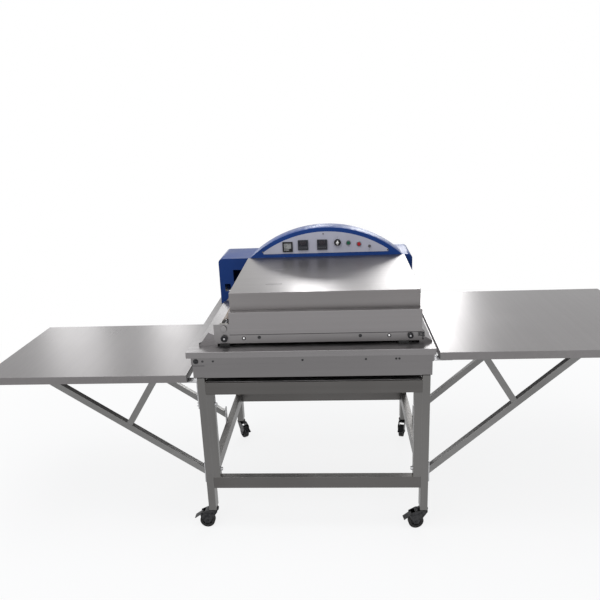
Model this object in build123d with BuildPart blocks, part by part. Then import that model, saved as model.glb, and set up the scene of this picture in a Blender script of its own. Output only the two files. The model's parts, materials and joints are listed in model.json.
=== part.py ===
from build123d import *
from math import atan2, cos, hypot, pi, radians, sin, sqrt
import os

# Continuous fusing press on a wheeled steel stand with a wing table at each end.
# Millimetres. X runs along the belts, from the delivery table (left) to the infeed table (right).
# Y runs from the operator to the back and Z up from the floor.
# The origin is on the floor, in the middle of the whole outline.

os.makedirs("parts", exist_ok=True)

# Stand
leg_spread = 900.0
stand_depth = 826.0
leg_wide = 30.0
leg_deep = 50.0
tube_wall = 2.0
leg_top = 688.0
rail_tall = 50.0
rail_deep = 30.0
lower_rail_bottom = 198.0
upper_rail_drop = 20.0
post_wide = 30.0

# Wing tables
left_gap = 39.0
left_table_long = 832.0
left_table_deep = 616.0
left_table_over_legs = 16.0
right_gap = 33.0
right_table_long = 902.0
right_table_deep = 817.0
right_table_over_legs = 94.0
table_proud = 4.0
table_apron = 31.0
table_sheet = 2.0
table_hem = 18.0

# Braces and struts under the wings, with their brackets and bolts
brace_side = 25.0
brace_wall = 2.0
brace_foot_over_rail = 80.0
left_brace_reach = 580.0
right_brace_reach = 538.0
front_brace_y = 18.0
rear_brace_inset = 107.0
strut_side = 25.0
left_strut_share = 0.50
left_strut_reach = 177.0
right_strut_share = 0.41
right_strut_reach = 207.0
bracket_thick = 5.0
bracket_wide = 40.0
bracket_low = 36.0
bracket_high = 34.0
table_bracket_long = 70.0
table_bracket_tall = 42.0
front_bracket_tall = 118.0
table_bolt_up = 15.0
brace_bolt_radius = 5.0
bolt_head_radius = 8.0
bolt_head = 5.0
nut_tall = 9.0
nut_taper = 8.0
hole_room = 0.2

# Cabinet under the deck and the deck itself
cabinet_over_left = 13.0
cabinet_over_right = 7.0
cabinet_over_rear = 4.0
cabinet_front = 4.0
cabinet_sheet = 2.0
cover_sheet_setback = 8.0
cover_sheet_room = 1.0
band_proud = 4.0
band_front_proud = 2.5
band_over_legs = 57.0
band_tall = 27.0
band_bolt_radius = 10.0
band_screw_radius = 4.5
band_bolt_inset = 15.0
band_screw_insets = (41.0, 82.0, 428.0, 669.0, 783.0, 795.0)
fastener_head = 2.2
deck_over_left = 22.0
deck_over_right = 13.0
deck_over_rear = 12.0
deck_front = -1.0
deck_over_legs = 109.0
deck_sheet = 2.0
deck_lip = 25.0

# Castors
wheel_radius = 31.5
wheel_wide = 24.0
wheel_edge = 5.0
wheel_recess = 4.0
tyre_wall = 9.0
hub_wall = 6.0
castor_trail = 30.0
fork_room = 2.0
fork_sheet = 2.5
fork_over_wheel = 17.0
fork_bridge = 4.0
fork_heel = 16.0
fork_shoulder = 8.0
fork_brow = 28.0
fork_toe_half = 8.0
race_radius = 20.0
race_neck_radius = 14.0
race_stack = 9.0
race_gap = 0.3
king_pin_radius = 5.0
king_head_radius = 8.0
king_head = 3.0
axle_radius = 4.0
axle_head_radius = 6.5
axle_head = 2.0
running_room = 0.05
pedal_pivot_ahead = 20.0
pedal_pivot_over = 1.0
pedal_barrel_radius = 4.5
pedal_pin_radius = 2.5
pedal_pin_proud = 1.0
pivot_boss_wide = 7.0
pivot_boss_over = 6.0
pedal_long = 36.0
pedal_sheet = 3.0
pedal_slope = 34.5
pedal_room = 0.3
shoe_radius = 3.2
shoe_room = 0.46
shoe_lead = 10.0
plug_tall = 22.0

# Press head: belts, rollers and platens
head_base_gap = 10.0
roller_radius = 18.0
shaft_radius = 8.0
drive_roller_left = 342.0
idler_roller_right = 380.0
belt_wide = 450.0
belt_front = 130.0
belt_thick = 1.0
belt_room = 0.3
belt_under_room = 1.7
roller_over = 5.0
shaft_cap_radius = 11.0
shaft_cap = 5.5
cap_room = 0.3
nip_gap = 1.4
bearing_wide = 44.0
bearing_tall = 36.0
bearing_corner = 8.0
bearing_thick = 12.0
platen_inside_drive = 47.0
platen_inside_idler = 45.0
platen_thick = 16.0
platen_room = 0.3
platen_bar_wide = 24.0
platen_bar_tall = 10.0
platen_bar_inset = 60.0
rod_radius = 4.0
rod_count = 4
rod_proud = 12.0

# Frame plates, front cover and hood round the belts
plate_thick = 6.0
front_side_room = 64.5
rear_side_room = 66.0
plate_over_drive = 40.0
plate_over_idler = 55.0
ear_over_roller = 17.0
plate_over_roller = 57.0
toe_over_roller = 15.0
toe_rise = 20.0
plate_edge_room = 2.0
shaft_hole_room = 1.0
tie_bar_radius = 8.0
tie_bar_left = 250.0
tie_bar_right = 300.0
tie_over_roller = 37.0
tie_seat_room = 0.1
foot_long = 40.0
foot_wide = 20.0
foot_inset_left = 40.0
foot_inset_right = 80.0
cover_sheet = 1.5
cover_inside_drive = 22.0
cover_over_idler = 44.0
ledge_over_roller = 65.0
ledge_run_under = 18.0
hood_inset_left = 2.0
hood_inset_right = 4.0
hood_setback = 30.0
hood_skirt = 70.0
hood_rise = 13.0
hood_sheet = 1.5
end_over_roller = 27.0
end_setback = 30.0
vent_slots = ((-186.0, 206.0, 67.0), (-178.0, 427.0, 52.0))
slot_wide = 4.0

# Sloped sheets at the two mouths
chute_lip_out = 65.0
chute_lip_tall = 12.0
chute_sheet = 2.0
chute_over_roller = 10.0
mouth_room = 3.5
cheek_thick = 2.0
cheek_inset = 10.0
cheek_peak_out = 23.0
cheek_peak_over = 24.0
cheek_inner_over = 8.0
infeed_lip_out = 29.0
infeed_lip_tall = 6.0
infeed_over_roller = 12.0
infeed_cheek_inset = 12.0
infeed_cheek_drop = 6.0

# Drive
gear_teeth = 20
pinion_teeth = 12
gear_wide = 12.0
gear_room = 11.0
tooth_addendum = 0.8
tooth_dedendum = 1.15
tooth_foot_share = 0.30
tooth_tip_share = 0.12
shaft_past_gear = 4.0
motor_radius = 29.0
motor_long = 150.0
motor_shaft_radius = 5.0
motor_foot = 4.0
gearbox_side = 60.0
gearbox_long = 30.0
gearbox_corner = 4.0

# Rear housing and arched control hood
box_room = 11.0
box_deep = 238.0
box_sheet = 2.0
box_corner = 20.0
back_inset = 2.0
window_high_out = 13.0
window_high_over_deck = 98.0
window_high_size = (44.0, 65.0)
window_low_out = 57.0
window_low_over_deck = 59.0
window_low_size = (27.0, 36.0)
shaft_slot_room = 2.0
vent_count = 9
vent_columns = 2
vent_long = 90.0
vent_tall = 5.0
vent_pitch = 14.0
vent_spread = 117.0
arch_inset = 10.0
arch_rise = 137.0
arch_deep = 115.0
arch_sheet = 2.0
panel_margin = 19.0
panel_bottom_margin = 17.0
panel_thick = 1.5
panel_corner = 6.0

# Instruments on the panel: places from the arch's middle, and heights over the housing's top
ammeter_spot = (-178.0, 50.0)
controller_spots = ((-105.0, 57.0), (-15.0, 57.0))
knob_spot = (57.0, 65.0)
green_spot = (108.0, 62.0)
red_spot = (157.0, 55.0)
toggle_spot = (206.0, 44.0)
screw_spots = ((-297.0, 28.0), (-9.0, 108.0), (291.0, 24.0))
instrument_face = 48.0
instrument_corner = 2.0
instrument_body = 44.0
instrument_proud = 6.0
instrument_long = 70.0
instrument_room = 0.3
screen_side = 40.0
screen_sink = 1.5
dial_side = 41.0
dial_deep = 4.5
window_sink = 1.0
window_thick = 1.0
needle_long = 26.0
needle_wide = 1.6
needle_thick = 1.0
needle_lift = 1.6
needle_room = 0.1
needle_hub_radius = 3.0
needle_pin_radius = 1.2
needle_from_right = 8.0
needle_from_foot = 6.0
needle_angle = 165.0
knob_radius = 16.0
knob_skirt = 4.0
knob_tall = 15.0
knob_taper = 6.0
knob_room = 0.4
knob_mark = (2.4, 9.0)
knob_mark_up = 4.0
knob_mark_deep = 3.0
knob_shaft_radius = 3.0
knob_shaft_long = 10.0
shaft_end_room = 1.0
pot_radius = 12.0
pot_deep = 22.0
button_radius = 8.0
button_room = 0.1
button_edge = 1.5
button_proud = 6.0
button_travel = 4.0
button_stem_radius = 3.0
button_stem_room = 2.0
bezel_radius = 11.0
bezel_wall = 2.0
bezel_proud = 4.5
bezel_deep = 22.0
bezel_floor = 1.0
toggle_collar_radius = 6.0
toggle_collar = 7.0
toggle_nut_radius = 7.5
toggle_nut = 2.0
toggle_stem_radius = 4.0
toggle_radius = 2.0
toggle_flare = -2.0
toggle_tip = 1.2
toggle_ball_radius = 3.2
toggle_ball_room = 0.3
toggle_long = 15.0
toggle_tilt = 14.0
toggle_bore_deeper = 0.5
screw_head_radius = 3.5
screw_head = 1.8

# Cable gland on the right end of the rear housing
gland_from_box_front = 193.0
gland_over_deck = 53.0
gland_radius = 11.0
gland_neck_radius = 9.0
gland_bore = 5.0
gland_long = 26.0
gland_nut = 6.0
gland_taper = 6.0

# Control gear on the back of the housing
relay_rail_x = 150.0
relay_over_deck = 103.0
relay_rail_long = 260.0
relay_rail_deep = 8.0
relay_rail_tall = 35.0
relay_wide = 28.0
relay_space = 12.0
relay_count = 5
relay_tall = 70.0
relay_deep = 45.0

# Worked out places: tables, braces, cabinet and deck
left_table_top = leg_top + left_table_over_legs
right_table_top = leg_top + right_table_over_legs
brace_foot_height = lower_rail_bottom + brace_foot_over_rail
left_brace_out = leg_spread / 2 + left_brace_reach
right_brace_out = leg_spread / 2 + right_brace_reach
left_strut_out = leg_spread / 2 + left_strut_reach
right_strut_out = leg_spread / 2 + right_strut_reach
rear_brace_y = left_table_deep - table_proud - rear_brace_inset
cabinet_left = leg_spread / 2 + cabinet_over_left
cabinet_right = leg_spread / 2 + cabinet_over_right
cabinet_rear = stand_depth + cabinet_over_rear
band_bottom = leg_top + band_over_legs
deck_left = cabinet_left + deck_over_left
deck_right = cabinet_right + deck_over_right
deck_rear = cabinet_rear + deck_over_rear
deck_top = leg_top + deck_over_legs
upper_rail_top = leg_top - upper_rail_drop

# Worked out places: castors
bridge_bottom = 2 * wheel_radius + fork_over_wheel
fork_top = bridge_bottom + fork_bridge
castor_height = fork_top + race_stack
pedal_pivot_out = castor_trail + pedal_pivot_ahead
pedal_pivot_height = 2 * wheel_radius + pedal_pivot_over

# Worked out places: press head
head_bottom = deck_top + head_base_gap
belt_rear = belt_front + belt_wide
belt_outer = roller_radius + belt_room + belt_thick
lower_roller_height = head_bottom + belt_under_room + belt_outer
upper_roller_height = lower_roller_height + 2 * belt_outer + nip_gap
gear_module = (upper_roller_height - lower_roller_height) / gear_teeth
platen_left = drive_roller_left - platen_inside_drive
platen_right = idler_roller_right - platen_inside_idler
plate_front = belt_front - front_side_room
plate_rear = belt_rear + rear_side_room
plate_left = drive_roller_left + plate_over_drive
plate_right = idler_roller_right + plate_over_idler
plate_ear_top = upper_roller_height + ear_over_roller
plate_top = upper_roller_height + plate_over_roller
plate_toe_top = lower_roller_height + toe_over_roller
tie_bar_height = upper_roller_height + tie_over_roller
cover_front = plate_front - cover_sheet
cover_left = drive_roller_left - cover_inside_drive
cover_right = idler_roller_right + cover_over_idler
cover_bottom = plate_toe_top
ledge_height = upper_roller_height + ledge_over_roller
ledge_depth = hood_setback + ledge_run_under
hood_left = cover_left - hood_inset_left
hood_right = cover_right - hood_inset_right
hood_front = cover_front + hood_setback
hood_front_top = ledge_height + hood_skirt
hood_end_bottom = upper_roller_height + end_over_roller
chute_lip_left = plate_left + chute_lip_out
chute_top_height = lower_roller_height + chute_over_roller
cheek_peak_left = plate_left + cheek_peak_out
cheek_peak_height = lower_roller_height + cheek_peak_over
cheek_inner_height = lower_roller_height + cheek_inner_over
infeed_lip_right = plate_right + infeed_lip_out
infeed_top_height = lower_roller_height + infeed_over_roller

# Worked out places: rear housing, arch and instruments
box_front = plate_rear + box_room
box_left = cabinet_left
box_right = cabinet_right
box_top = hood_front_top + hood_rise
gear_front = box_front + gear_room
arch_left = hood_left - arch_inset
arch_right = hood_right - arch_inset
arch_mid = (arch_right - arch_left) / 2
ammeter_x = arch_mid + ammeter_spot[0]
ammeter_z = box_top + ammeter_spot[1]
controller_places = [(arch_mid + x, box_top + z) for x, z in controller_spots]
knob_x = arch_mid + knob_spot[0]
knob_z = box_top + knob_spot[1]
green_x = arch_mid + green_spot[0]
green_z = box_top + green_spot[1]
red_x = arch_mid + red_spot[0]
red_z = box_top + red_spot[1]
toggle_x = arch_mid + toggle_spot[0]
toggle_z = box_top + toggle_spot[1]
screw_places = [(arch_mid + x, box_top + z) for x, z in screw_spots]
gland_y = box_front + gland_from_box_front
gland_z = deck_top + gland_over_deck
relay_z = deck_top + relay_over_deck

# Worked out places: the whole outline, whose middle is the origin
left_reach = leg_spread / 2 + left_gap + left_table_long
right_reach = leg_spread / 2 + right_gap + right_table_long
stand_x = (left_reach - right_reach) / 2
front_y = -(box_front + box_deep - table_proud) / 2


def across(distance):
    """X of a place that far right of the stand's middle."""
    return stand_x + distance


def behind(distance):
    """Y of a place that far behind the front legs' front faces."""
    return front_y + distance


def upright(distance):
    """Upright plane that far behind the legs' fronts; sketches extrude towards the operator."""
    return Plane.XZ.offset(-behind(distance))


corner = (Align.MIN, Align.MIN, Align.MIN)

# Four legs of rectangular tube, open at the foot for the castor plugs
leg_x = leg_spread / 2 - leg_wide / 2
leg_ys = (leg_deep / 2, stand_depth - leg_deep / 2)
leg_spots = [(across(side * leg_x), behind(y)) for side in (-1, 1) for y in leg_ys]
bolt_line_x = leg_spread / 2
table_bolt_y = rail_deep / 2
table_bolt_height = left_table_top - table_apron - front_bracket_tall + table_bolt_up
with BuildPart() as stand_legs:
    with BuildSketch(Plane.XY.offset(castor_height)):
        with Locations(*leg_spots):
            Rectangle(leg_wide, leg_deep)
            Rectangle(leg_wide - 2 * tube_wall, leg_deep - 2 * tube_wall, mode=Mode.SUBTRACT)
    extrude(amount=leg_top - castor_height)
    with BuildSketch(Plane.YZ.offset(across(-bolt_line_x))):
        with Locations((behind(front_brace_y), brace_foot_height)):
            Circle(brace_bolt_radius + hole_room)
    extrude(amount=leg_spread, mode=Mode.SUBTRACT)
    with BuildSketch(Plane.YZ.offset(across(-bolt_line_x))):
        with Locations((behind(table_bolt_y), table_bolt_height)):
            Circle(brace_bolt_radius + hole_room)
    extrude(amount=leg_wide + post_wide, mode=Mode.SUBTRACT)
stand_legs.part.label = "stand_legs"
export_step(stand_legs.part, "parts/stand_legs.step")

# Doubling posts inside the legs, between the lower and upper rails
post_x = leg_spread / 2 - leg_wide - post_wide / 2
post_bottom = lower_rail_bottom + rail_tall
post_top = upper_rail_top - rail_tall
post_ys = (rail_deep / 2, stand_depth - rail_deep / 2)
post_spots = [(across(side * post_x), behind(y)) for side in (-1, 1) for y in post_ys]
with BuildPart() as inner_posts:
    with BuildSketch(Plane.XY.offset(post_bottom)):
        with Locations(*post_spots):
            Rectangle(post_wide, rail_deep)
            Rectangle(post_wide - 2 * tube_wall, rail_deep - 2 * tube_wall, mode=Mode.SUBTRACT)
    extrude(amount=post_top - post_bottom)
    with BuildSketch(Plane.YZ.offset(across(-bolt_line_x))):
        with Locations((behind(front_brace_y), brace_foot_height)):
            Circle(brace_bolt_radius + hole_room)
    extrude(amount=leg_spread, mode=Mode.SUBTRACT)
    with BuildSketch(Plane.YZ.offset(across(-bolt_line_x))):
        with Locations((behind(table_bolt_y), table_bolt_height)):
            Circle(brace_bolt_radius + hole_room)
    extrude(amount=leg_wide + post_wide, mode=Mode.SUBTRACT)
inner_posts.part.label = "inner_posts"
export_step(inner_posts.part, "parts/inner_posts.step")

# Rails between the legs: front, rear and both sides, at two heights
long_rail = leg_spread - 2 * leg_wide
side_rail = stand_depth - 2 * leg_deep
rail_mids = (lower_rail_bottom + rail_tall / 2, upper_rail_top - rail_tall / 2)
with BuildPart() as stand_rails:
    with BuildSketch(Plane.YZ.offset(across(-long_rail / 2))):
        with Locations(*[(behind(y), z) for y in post_ys for z in rail_mids]):
            Rectangle(rail_deep, rail_tall)
            Rectangle(rail_deep - 2 * tube_wall, rail_tall - 2 * tube_wall, mode=Mode.SUBTRACT)
    extrude(amount=long_rail)
    with BuildSketch(upright(stand_depth - leg_deep)):
        with Locations(*[(across(side * leg_x), z) for side in (-1, 1) for z in rail_mids]):
            Rectangle(leg_wide, rail_tall)
            Rectangle(leg_wide - 2 * tube_wall, rail_tall - 2 * tube_wall, mode=Mode.SUBTRACT)
    extrude(amount=side_rail)
stand_rails.part.label = "stand_rails"
export_step(stand_rails.part, "parts/stand_rails.step")


def wing(side):
    """Lengths of one wing: brace outer end, table underside, strut share and strut top."""
    if side < 0:
        return left_brace_out, left_table_top - table_apron, left_strut_share, left_strut_out
    return right_brace_out, right_table_top - table_apron, right_strut_share, right_strut_out


def brace_outline(side, inset):
    """Corners of a brace: level cut under the table, upright cut at the bracket; inset is the wall."""
    out, under, share, strut_out = wing(side)
    foot = leg_spread / 2 + bracket_thick
    rise = under - brace_foot_height
    run = out - foot
    half = (brace_side / 2 - inset) * hypot(run, rise)
    top_shift = half / rise
    foot_shift = half / run
    ends = [
        (foot, brace_foot_height - foot_shift),
        (foot, brace_foot_height + foot_shift),
        (out - top_shift, under),
        (out + top_shift, under),
    ]
    return [(across(side * x), z) for x, z in ends]


def strut_outline(side, inset):
    """Corners of a strut: level cut under the table, lower end along the brace's upper face."""
    out, under, share, strut_out = wing(side)
    foot = leg_spread / 2 + bracket_thick
    slope = (under - brace_foot_height) / (out - foot)
    lift = brace_side / 2 * sqrt(1 + slope * slope)
    foot_x = out + (foot - out) * share
    foot_z = brace_foot_height + slope * (foot_x - foot) + lift
    run = strut_out - foot_x
    rise = under - foot_z
    top_shift = (strut_side / 2 - inset) * hypot(run, rise) / rise
    foot_shift = (strut_side / 2 - inset) * hypot(run, rise) / (rise - slope * run)
    ends = [
        (foot_x - foot_shift, foot_z - slope * foot_shift),
        (foot_x + foot_shift, foot_z + slope * foot_shift),
        (strut_out + top_shift, under),
        (strut_out - top_shift, under),
    ]
    return [(across(side * x), z) for x, z in ends]


# Braces and struts, hollow square tube, in a front and a rear pair on each side
brace_ys = (front_brace_y, rear_brace_y)
with BuildPart() as wing_braces:
    for side in (-1, 1):
        for y in brace_ys:
            with BuildSketch(upright(y + brace_side / 2)):
                Polygon(*brace_outline(side, 0), align=None)
            extrude(amount=brace_side)
            with BuildSketch(upright(y + brace_side / 2 - brace_wall)):
                Polygon(*brace_outline(side, brace_wall), align=None)
            extrude(amount=brace_side - 2 * brace_wall, mode=Mode.SUBTRACT)
wing_braces.part.label = "wing_braces"
export_step(wing_braces.part, "parts/wing_braces.step")

with BuildPart() as wing_struts:
    for side in (-1, 1):
        for y in brace_ys:
            with BuildSketch(upright(y + strut_side / 2)):
                Polygon(*strut_outline(side, 0), align=None)
            extrude(amount=strut_side)
            with BuildSketch(upright(y + strut_side / 2 - brace_wall)):
                Polygon(*strut_outline(side, brace_wall), align=None)
            extrude(amount=strut_side - 2 * brace_wall, mode=Mode.SUBTRACT)
wing_struts.part.label = "wing_struts"
export_step(wing_struts.part, "parts/wing_struts.step")

# Plates that carry the braces' feet, and angle brackets that carry the tables' inner ends
left_under = left_table_top - table_apron
right_under = right_table_top - table_apron
plate_bottom = min(brace_foot_height - bracket_low, lower_rail_bottom + rail_tall / 2)
plate_height = brace_foot_height + bracket_high - plate_bottom
band_right = cabinet_right + band_proud
band_top = band_bottom + band_tall
left_bracket_talls = (front_bracket_tall, table_bracket_tall)
table_bracket_ys = (leg_deep / 2, rear_brace_y)
with BuildPart() as wing_brackets:
    for y in brace_ys:
        with Locations(
            (across(-leg_spread / 2 - bracket_thick), behind(y - brace_side / 2), plate_bottom),
            (across(leg_spread / 2), behind(y - brace_side / 2), plate_bottom),
        ):
            Box(bracket_thick, brace_side, plate_height, align=corner)
    for y, tall in zip(table_bracket_ys, left_bracket_talls):
        with Locations((across(-leg_spread / 2 - bracket_thick), behind(y - bracket_wide / 2), 0)):
            with Locations((0, 0, left_under - tall)):
                Box(bracket_thick, bracket_wide, tall, align=corner)
            with Locations((bracket_thick - table_bracket_long, 0, left_under - bracket_thick)):
                Box(table_bracket_long, bracket_wide, bracket_thick, align=corner)
        with Locations((across(band_right), behind(y - bracket_wide / 2), right_under - bracket_thick)):
            Box(bracket_thick, bracket_wide, band_top - right_under + bracket_thick, align=corner)
            Box(table_bracket_long, bracket_wide, bracket_thick, align=corner)
    with BuildSketch(Plane.YZ.offset(across(-leg_spread / 2 - bracket_thick))):
        with Locations((behind(front_brace_y), brace_foot_height)):
            Circle(brace_bolt_radius + hole_room)
    extrude(amount=leg_spread + 2 * bracket_thick, mode=Mode.SUBTRACT)
    with BuildSketch(Plane.YZ.offset(across(-leg_spread / 2 - bracket_thick))):
        with Locations((behind(table_bolt_y), table_bolt_height)):
            Circle(brace_bolt_radius + hole_room)
    extrude(amount=bracket_thick, mode=Mode.SUBTRACT)
wing_brackets.part.label = "wing_brackets"
export_step(wing_brackets.part, "parts/wing_brackets.step")

# Long bolts through bracket, leg and post, each with a domed nut inside the stand
bolt_grip = bracket_thick + leg_wide + post_wide
bolt_places = [
    (-1, front_brace_y, brace_foot_height),
    (1, front_brace_y, brace_foot_height),
    (-1, table_bolt_y, table_bolt_height),
]
with BuildPart() as stand_bolts:
    for side, y, z in bolt_places:
        start = across(side * (leg_spread / 2 + bracket_thick))
        plane = Plane(
            origin=(start, behind(y), z),
            x_dir=(0, 1, 0),
            z_dir=(-side, 0, 0),
        )
        with BuildSketch(plane):
            Circle(brace_bolt_radius)
        extrude(amount=bolt_grip)
        with BuildSketch(plane):
            RegularPolygon(bolt_head_radius, 6)
        extrude(amount=-bolt_head)
        with BuildSketch(plane.offset(bolt_grip)):
            RegularPolygon(bolt_head_radius, 6)
        extrude(amount=nut_tall, taper=nut_taper)
stand_bolts.part.label = "stand_bolts"
export_step(stand_bolts.part, "parts/stand_bolts.step")


def tray(inner_x, long, deep, top, side):
    """Folded table tray in algebra form: sheet top, four aprons and a return hem under them."""
    low_x = inner_x if side > 0 else inner_x - long
    origin = Location((across(low_x), behind(-table_proud), top - table_apron))
    outer = Box(long, deep, table_apron, align=corner, mode=Mode.PRIVATE)
    hollow = Box(
        long - 2 * table_sheet,
        deep - 2 * table_sheet,
        table_apron - 2 * table_sheet,
        align=corner,
        mode=Mode.PRIVATE,
    )
    hole = Box(
        long - 2 * table_hem,
        deep - 2 * table_hem,
        table_sheet,
        align=corner,
        mode=Mode.PRIVATE,
    )
    body = outer - Pos(table_sheet, table_sheet, table_sheet) * hollow
    body = body - Pos(table_hem, table_hem, 0) * hole
    return origin * body


with BuildPart() as left_table:
    add(tray(-leg_spread / 2 - left_gap, left_table_long, left_table_deep, left_table_top, -1))
left_table.part.label = "left_table"
export_step(left_table.part, "parts/left_table.step")

with BuildPart() as right_table:
    add(tray(leg_spread / 2 + right_gap, right_table_long, right_table_deep, right_table_top, 1))
right_table.part.label = "right_table"
export_step(right_table.part, "parts/right_table.step")

# Cabinet between stand and deck: floor, four walls and a raised band round three sides.
# Under it a flat sheet closes the stand; it lies on the front and rear upper rails.
cover_sheet_half = long_rail / 2 - cover_sheet_room
cabinet_top = deck_top - deck_sheet
cabinet_wide = cabinet_left + cabinet_right
cabinet_deep = cabinet_rear - cabinet_front
cabinet_tall = cabinet_top - leg_top
with BuildPart() as base_cabinet:
    with Locations((across(-cabinet_left), behind(cabinet_front), leg_top)):
        Box(cabinet_wide, cabinet_deep, cabinet_tall, align=corner)
        with Locations((-band_proud, -band_front_proud, band_bottom - leg_top)):
            Box(
                cabinet_wide + 2 * band_proud,
                cabinet_deep + band_front_proud,
                band_tall,
                align=corner,
            )
        with Locations((cabinet_sheet, cabinet_sheet, cabinet_sheet)):
            Box(
                cabinet_wide - 2 * cabinet_sheet,
                cabinet_deep - 2 * cabinet_sheet,
                cabinet_tall,
                align=corner,
                mode=Mode.SUBTRACT,
            )
    with Locations((across(-cover_sheet_half), behind(cover_sheet_setback), upper_rail_top)):
        Box(
            2 * cover_sheet_half,
            stand_depth - 2 * cover_sheet_setback,
            cabinet_sheet,
            align=corner,
        )
base_cabinet.part.label = "base_cabinet"
export_step(base_cabinet.part, "parts/base_cabinet.step")

# Deck: polished sheet with a lip folded down all round
deck_wide = deck_left + deck_right
deck_deep = deck_rear - deck_front
with BuildPart() as deck_plate:
    with Locations((across(-deck_left), behind(deck_front), deck_top - deck_lip)):
        Box(deck_wide, deck_deep, deck_lip, align=corner)
        with Locations((deck_sheet, deck_sheet, 0)):
            Box(
                deck_wide - 2 * deck_sheet,
                deck_deep - 2 * deck_sheet,
                deck_lip - deck_sheet,
                align=corner,
                mode=Mode.SUBTRACT,
            )
deck_plate.part.label = "deck_plate"
export_step(deck_plate.part, "parts/deck_plate.step")

# Fasteners along the cabinet's band: one large bolt at the left and smaller ones
band_screw_height = band_bottom + band_tall / 2
band_screw_xs = [inset - cabinet_left for inset in band_screw_insets]
band_bolt_x = band_bolt_inset - cabinet_left
band_face = cabinet_front - band_front_proud
with BuildPart() as cabinet_screws:
    with BuildSketch(upright(band_face)):
        with Locations((across(band_bolt_x), band_screw_height)):
            RegularPolygon(band_bolt_radius, 6)
        with Locations(*[(across(x), band_screw_height) for x in band_screw_xs]):
            Circle(band_screw_radius)
    extrude(amount=fastener_head)
cabinet_screws.part.label = "cabinet_screws"
export_step(cabinet_screws.part, "parts/cabinet_screws.step")

# Castors. Each swivels about its king pin; the angle is the way its wheel trails at rest.
castors = {
    "front_left": (-1, leg_ys[0], 180.0),
    "front_right": (1, leg_ys[0], 188.0),
    "rear_left": (-1, leg_ys[1], -55.0),
    "rear_right": (1, leg_ys[1], -105.0),
}
fork_inside = wheel_wide / 2 + fork_room
fork_outside = fork_inside + fork_sheet


def castor_planes(side, y, angle):
    """Plan plane and side plane through one castor's king pin; their X is the trail direction."""
    spot = (across(side * leg_x), behind(y), 0)
    trail = (cos(radians(angle)), sin(radians(angle)), 0)
    flank = (sin(radians(angle)), -cos(radians(angle)), 0)
    plan = Plane(origin=spot, x_dir=trail, z_dir=(0, 0, 1))
    return plan, Plane(origin=spot, x_dir=trail, z_dir=flank)


# Fixed halves: plug in the leg, upper race and king pin with its head under the fork
with BuildPart() as castor_stems:
    with BuildSketch(Plane.XY.offset(castor_height)):
        with Locations(*leg_spots):
            Rectangle(leg_wide - 2 * tube_wall, leg_deep - 2 * tube_wall)
    extrude(amount=plug_tall)
    with BuildSketch(Plane.XY.offset(fork_top + race_gap)):
        with Locations(*leg_spots):
            Circle(race_neck_radius)
    extrude(amount=castor_height - fork_top - race_gap)
    with BuildSketch(Plane.XY.offset(bridge_bottom - race_gap)):
        with Locations(*leg_spots):
            Circle(king_pin_radius)
    extrude(amount=castor_height - bridge_bottom)
    with BuildSketch(Plane.XY.offset(bridge_bottom - race_gap)):
        with Locations(*leg_spots):
            Circle(king_head_radius)
    extrude(amount=-king_head)
castor_stems.part.label = "castor_stems"
export_step(castor_stems.part, "parts/castor_stems.step")

arm_outline = [
    (-fork_heel, fork_top),
    (fork_brow, fork_top),
    (pedal_pivot_out + pivot_boss_wide, pedal_pivot_height + pivot_boss_over),
    (pedal_pivot_out + pivot_boss_wide, pedal_pivot_height - pivot_boss_wide),
    (castor_trail + fork_toe_half, wheel_radius - fork_toe_half),
    (castor_trail - fork_toe_half, wheel_radius - fork_toe_half),
    (-fork_heel, fork_top - fork_shoulder),
]
fork_span = 2 * (pedal_pivot_out + race_radius)
axle_spot = (castor_trail, wheel_radius)
pivot_spot = (pedal_pivot_out, pedal_pivot_height)
pedal_along = (cos(radians(pedal_slope)), -sin(radians(pedal_slope)))
pedal_up = (sin(radians(pedal_slope)), cos(radians(pedal_slope)))


def pedal_point(along, up):
    """Point of the pedal's side outline, from its pivot along and square to its slope."""
    return (
        pedal_pivot_out + along * pedal_along[0] + up * pedal_up[0],
        pedal_pivot_height + along * pedal_along[1] + up * pedal_up[1],
    )


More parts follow.
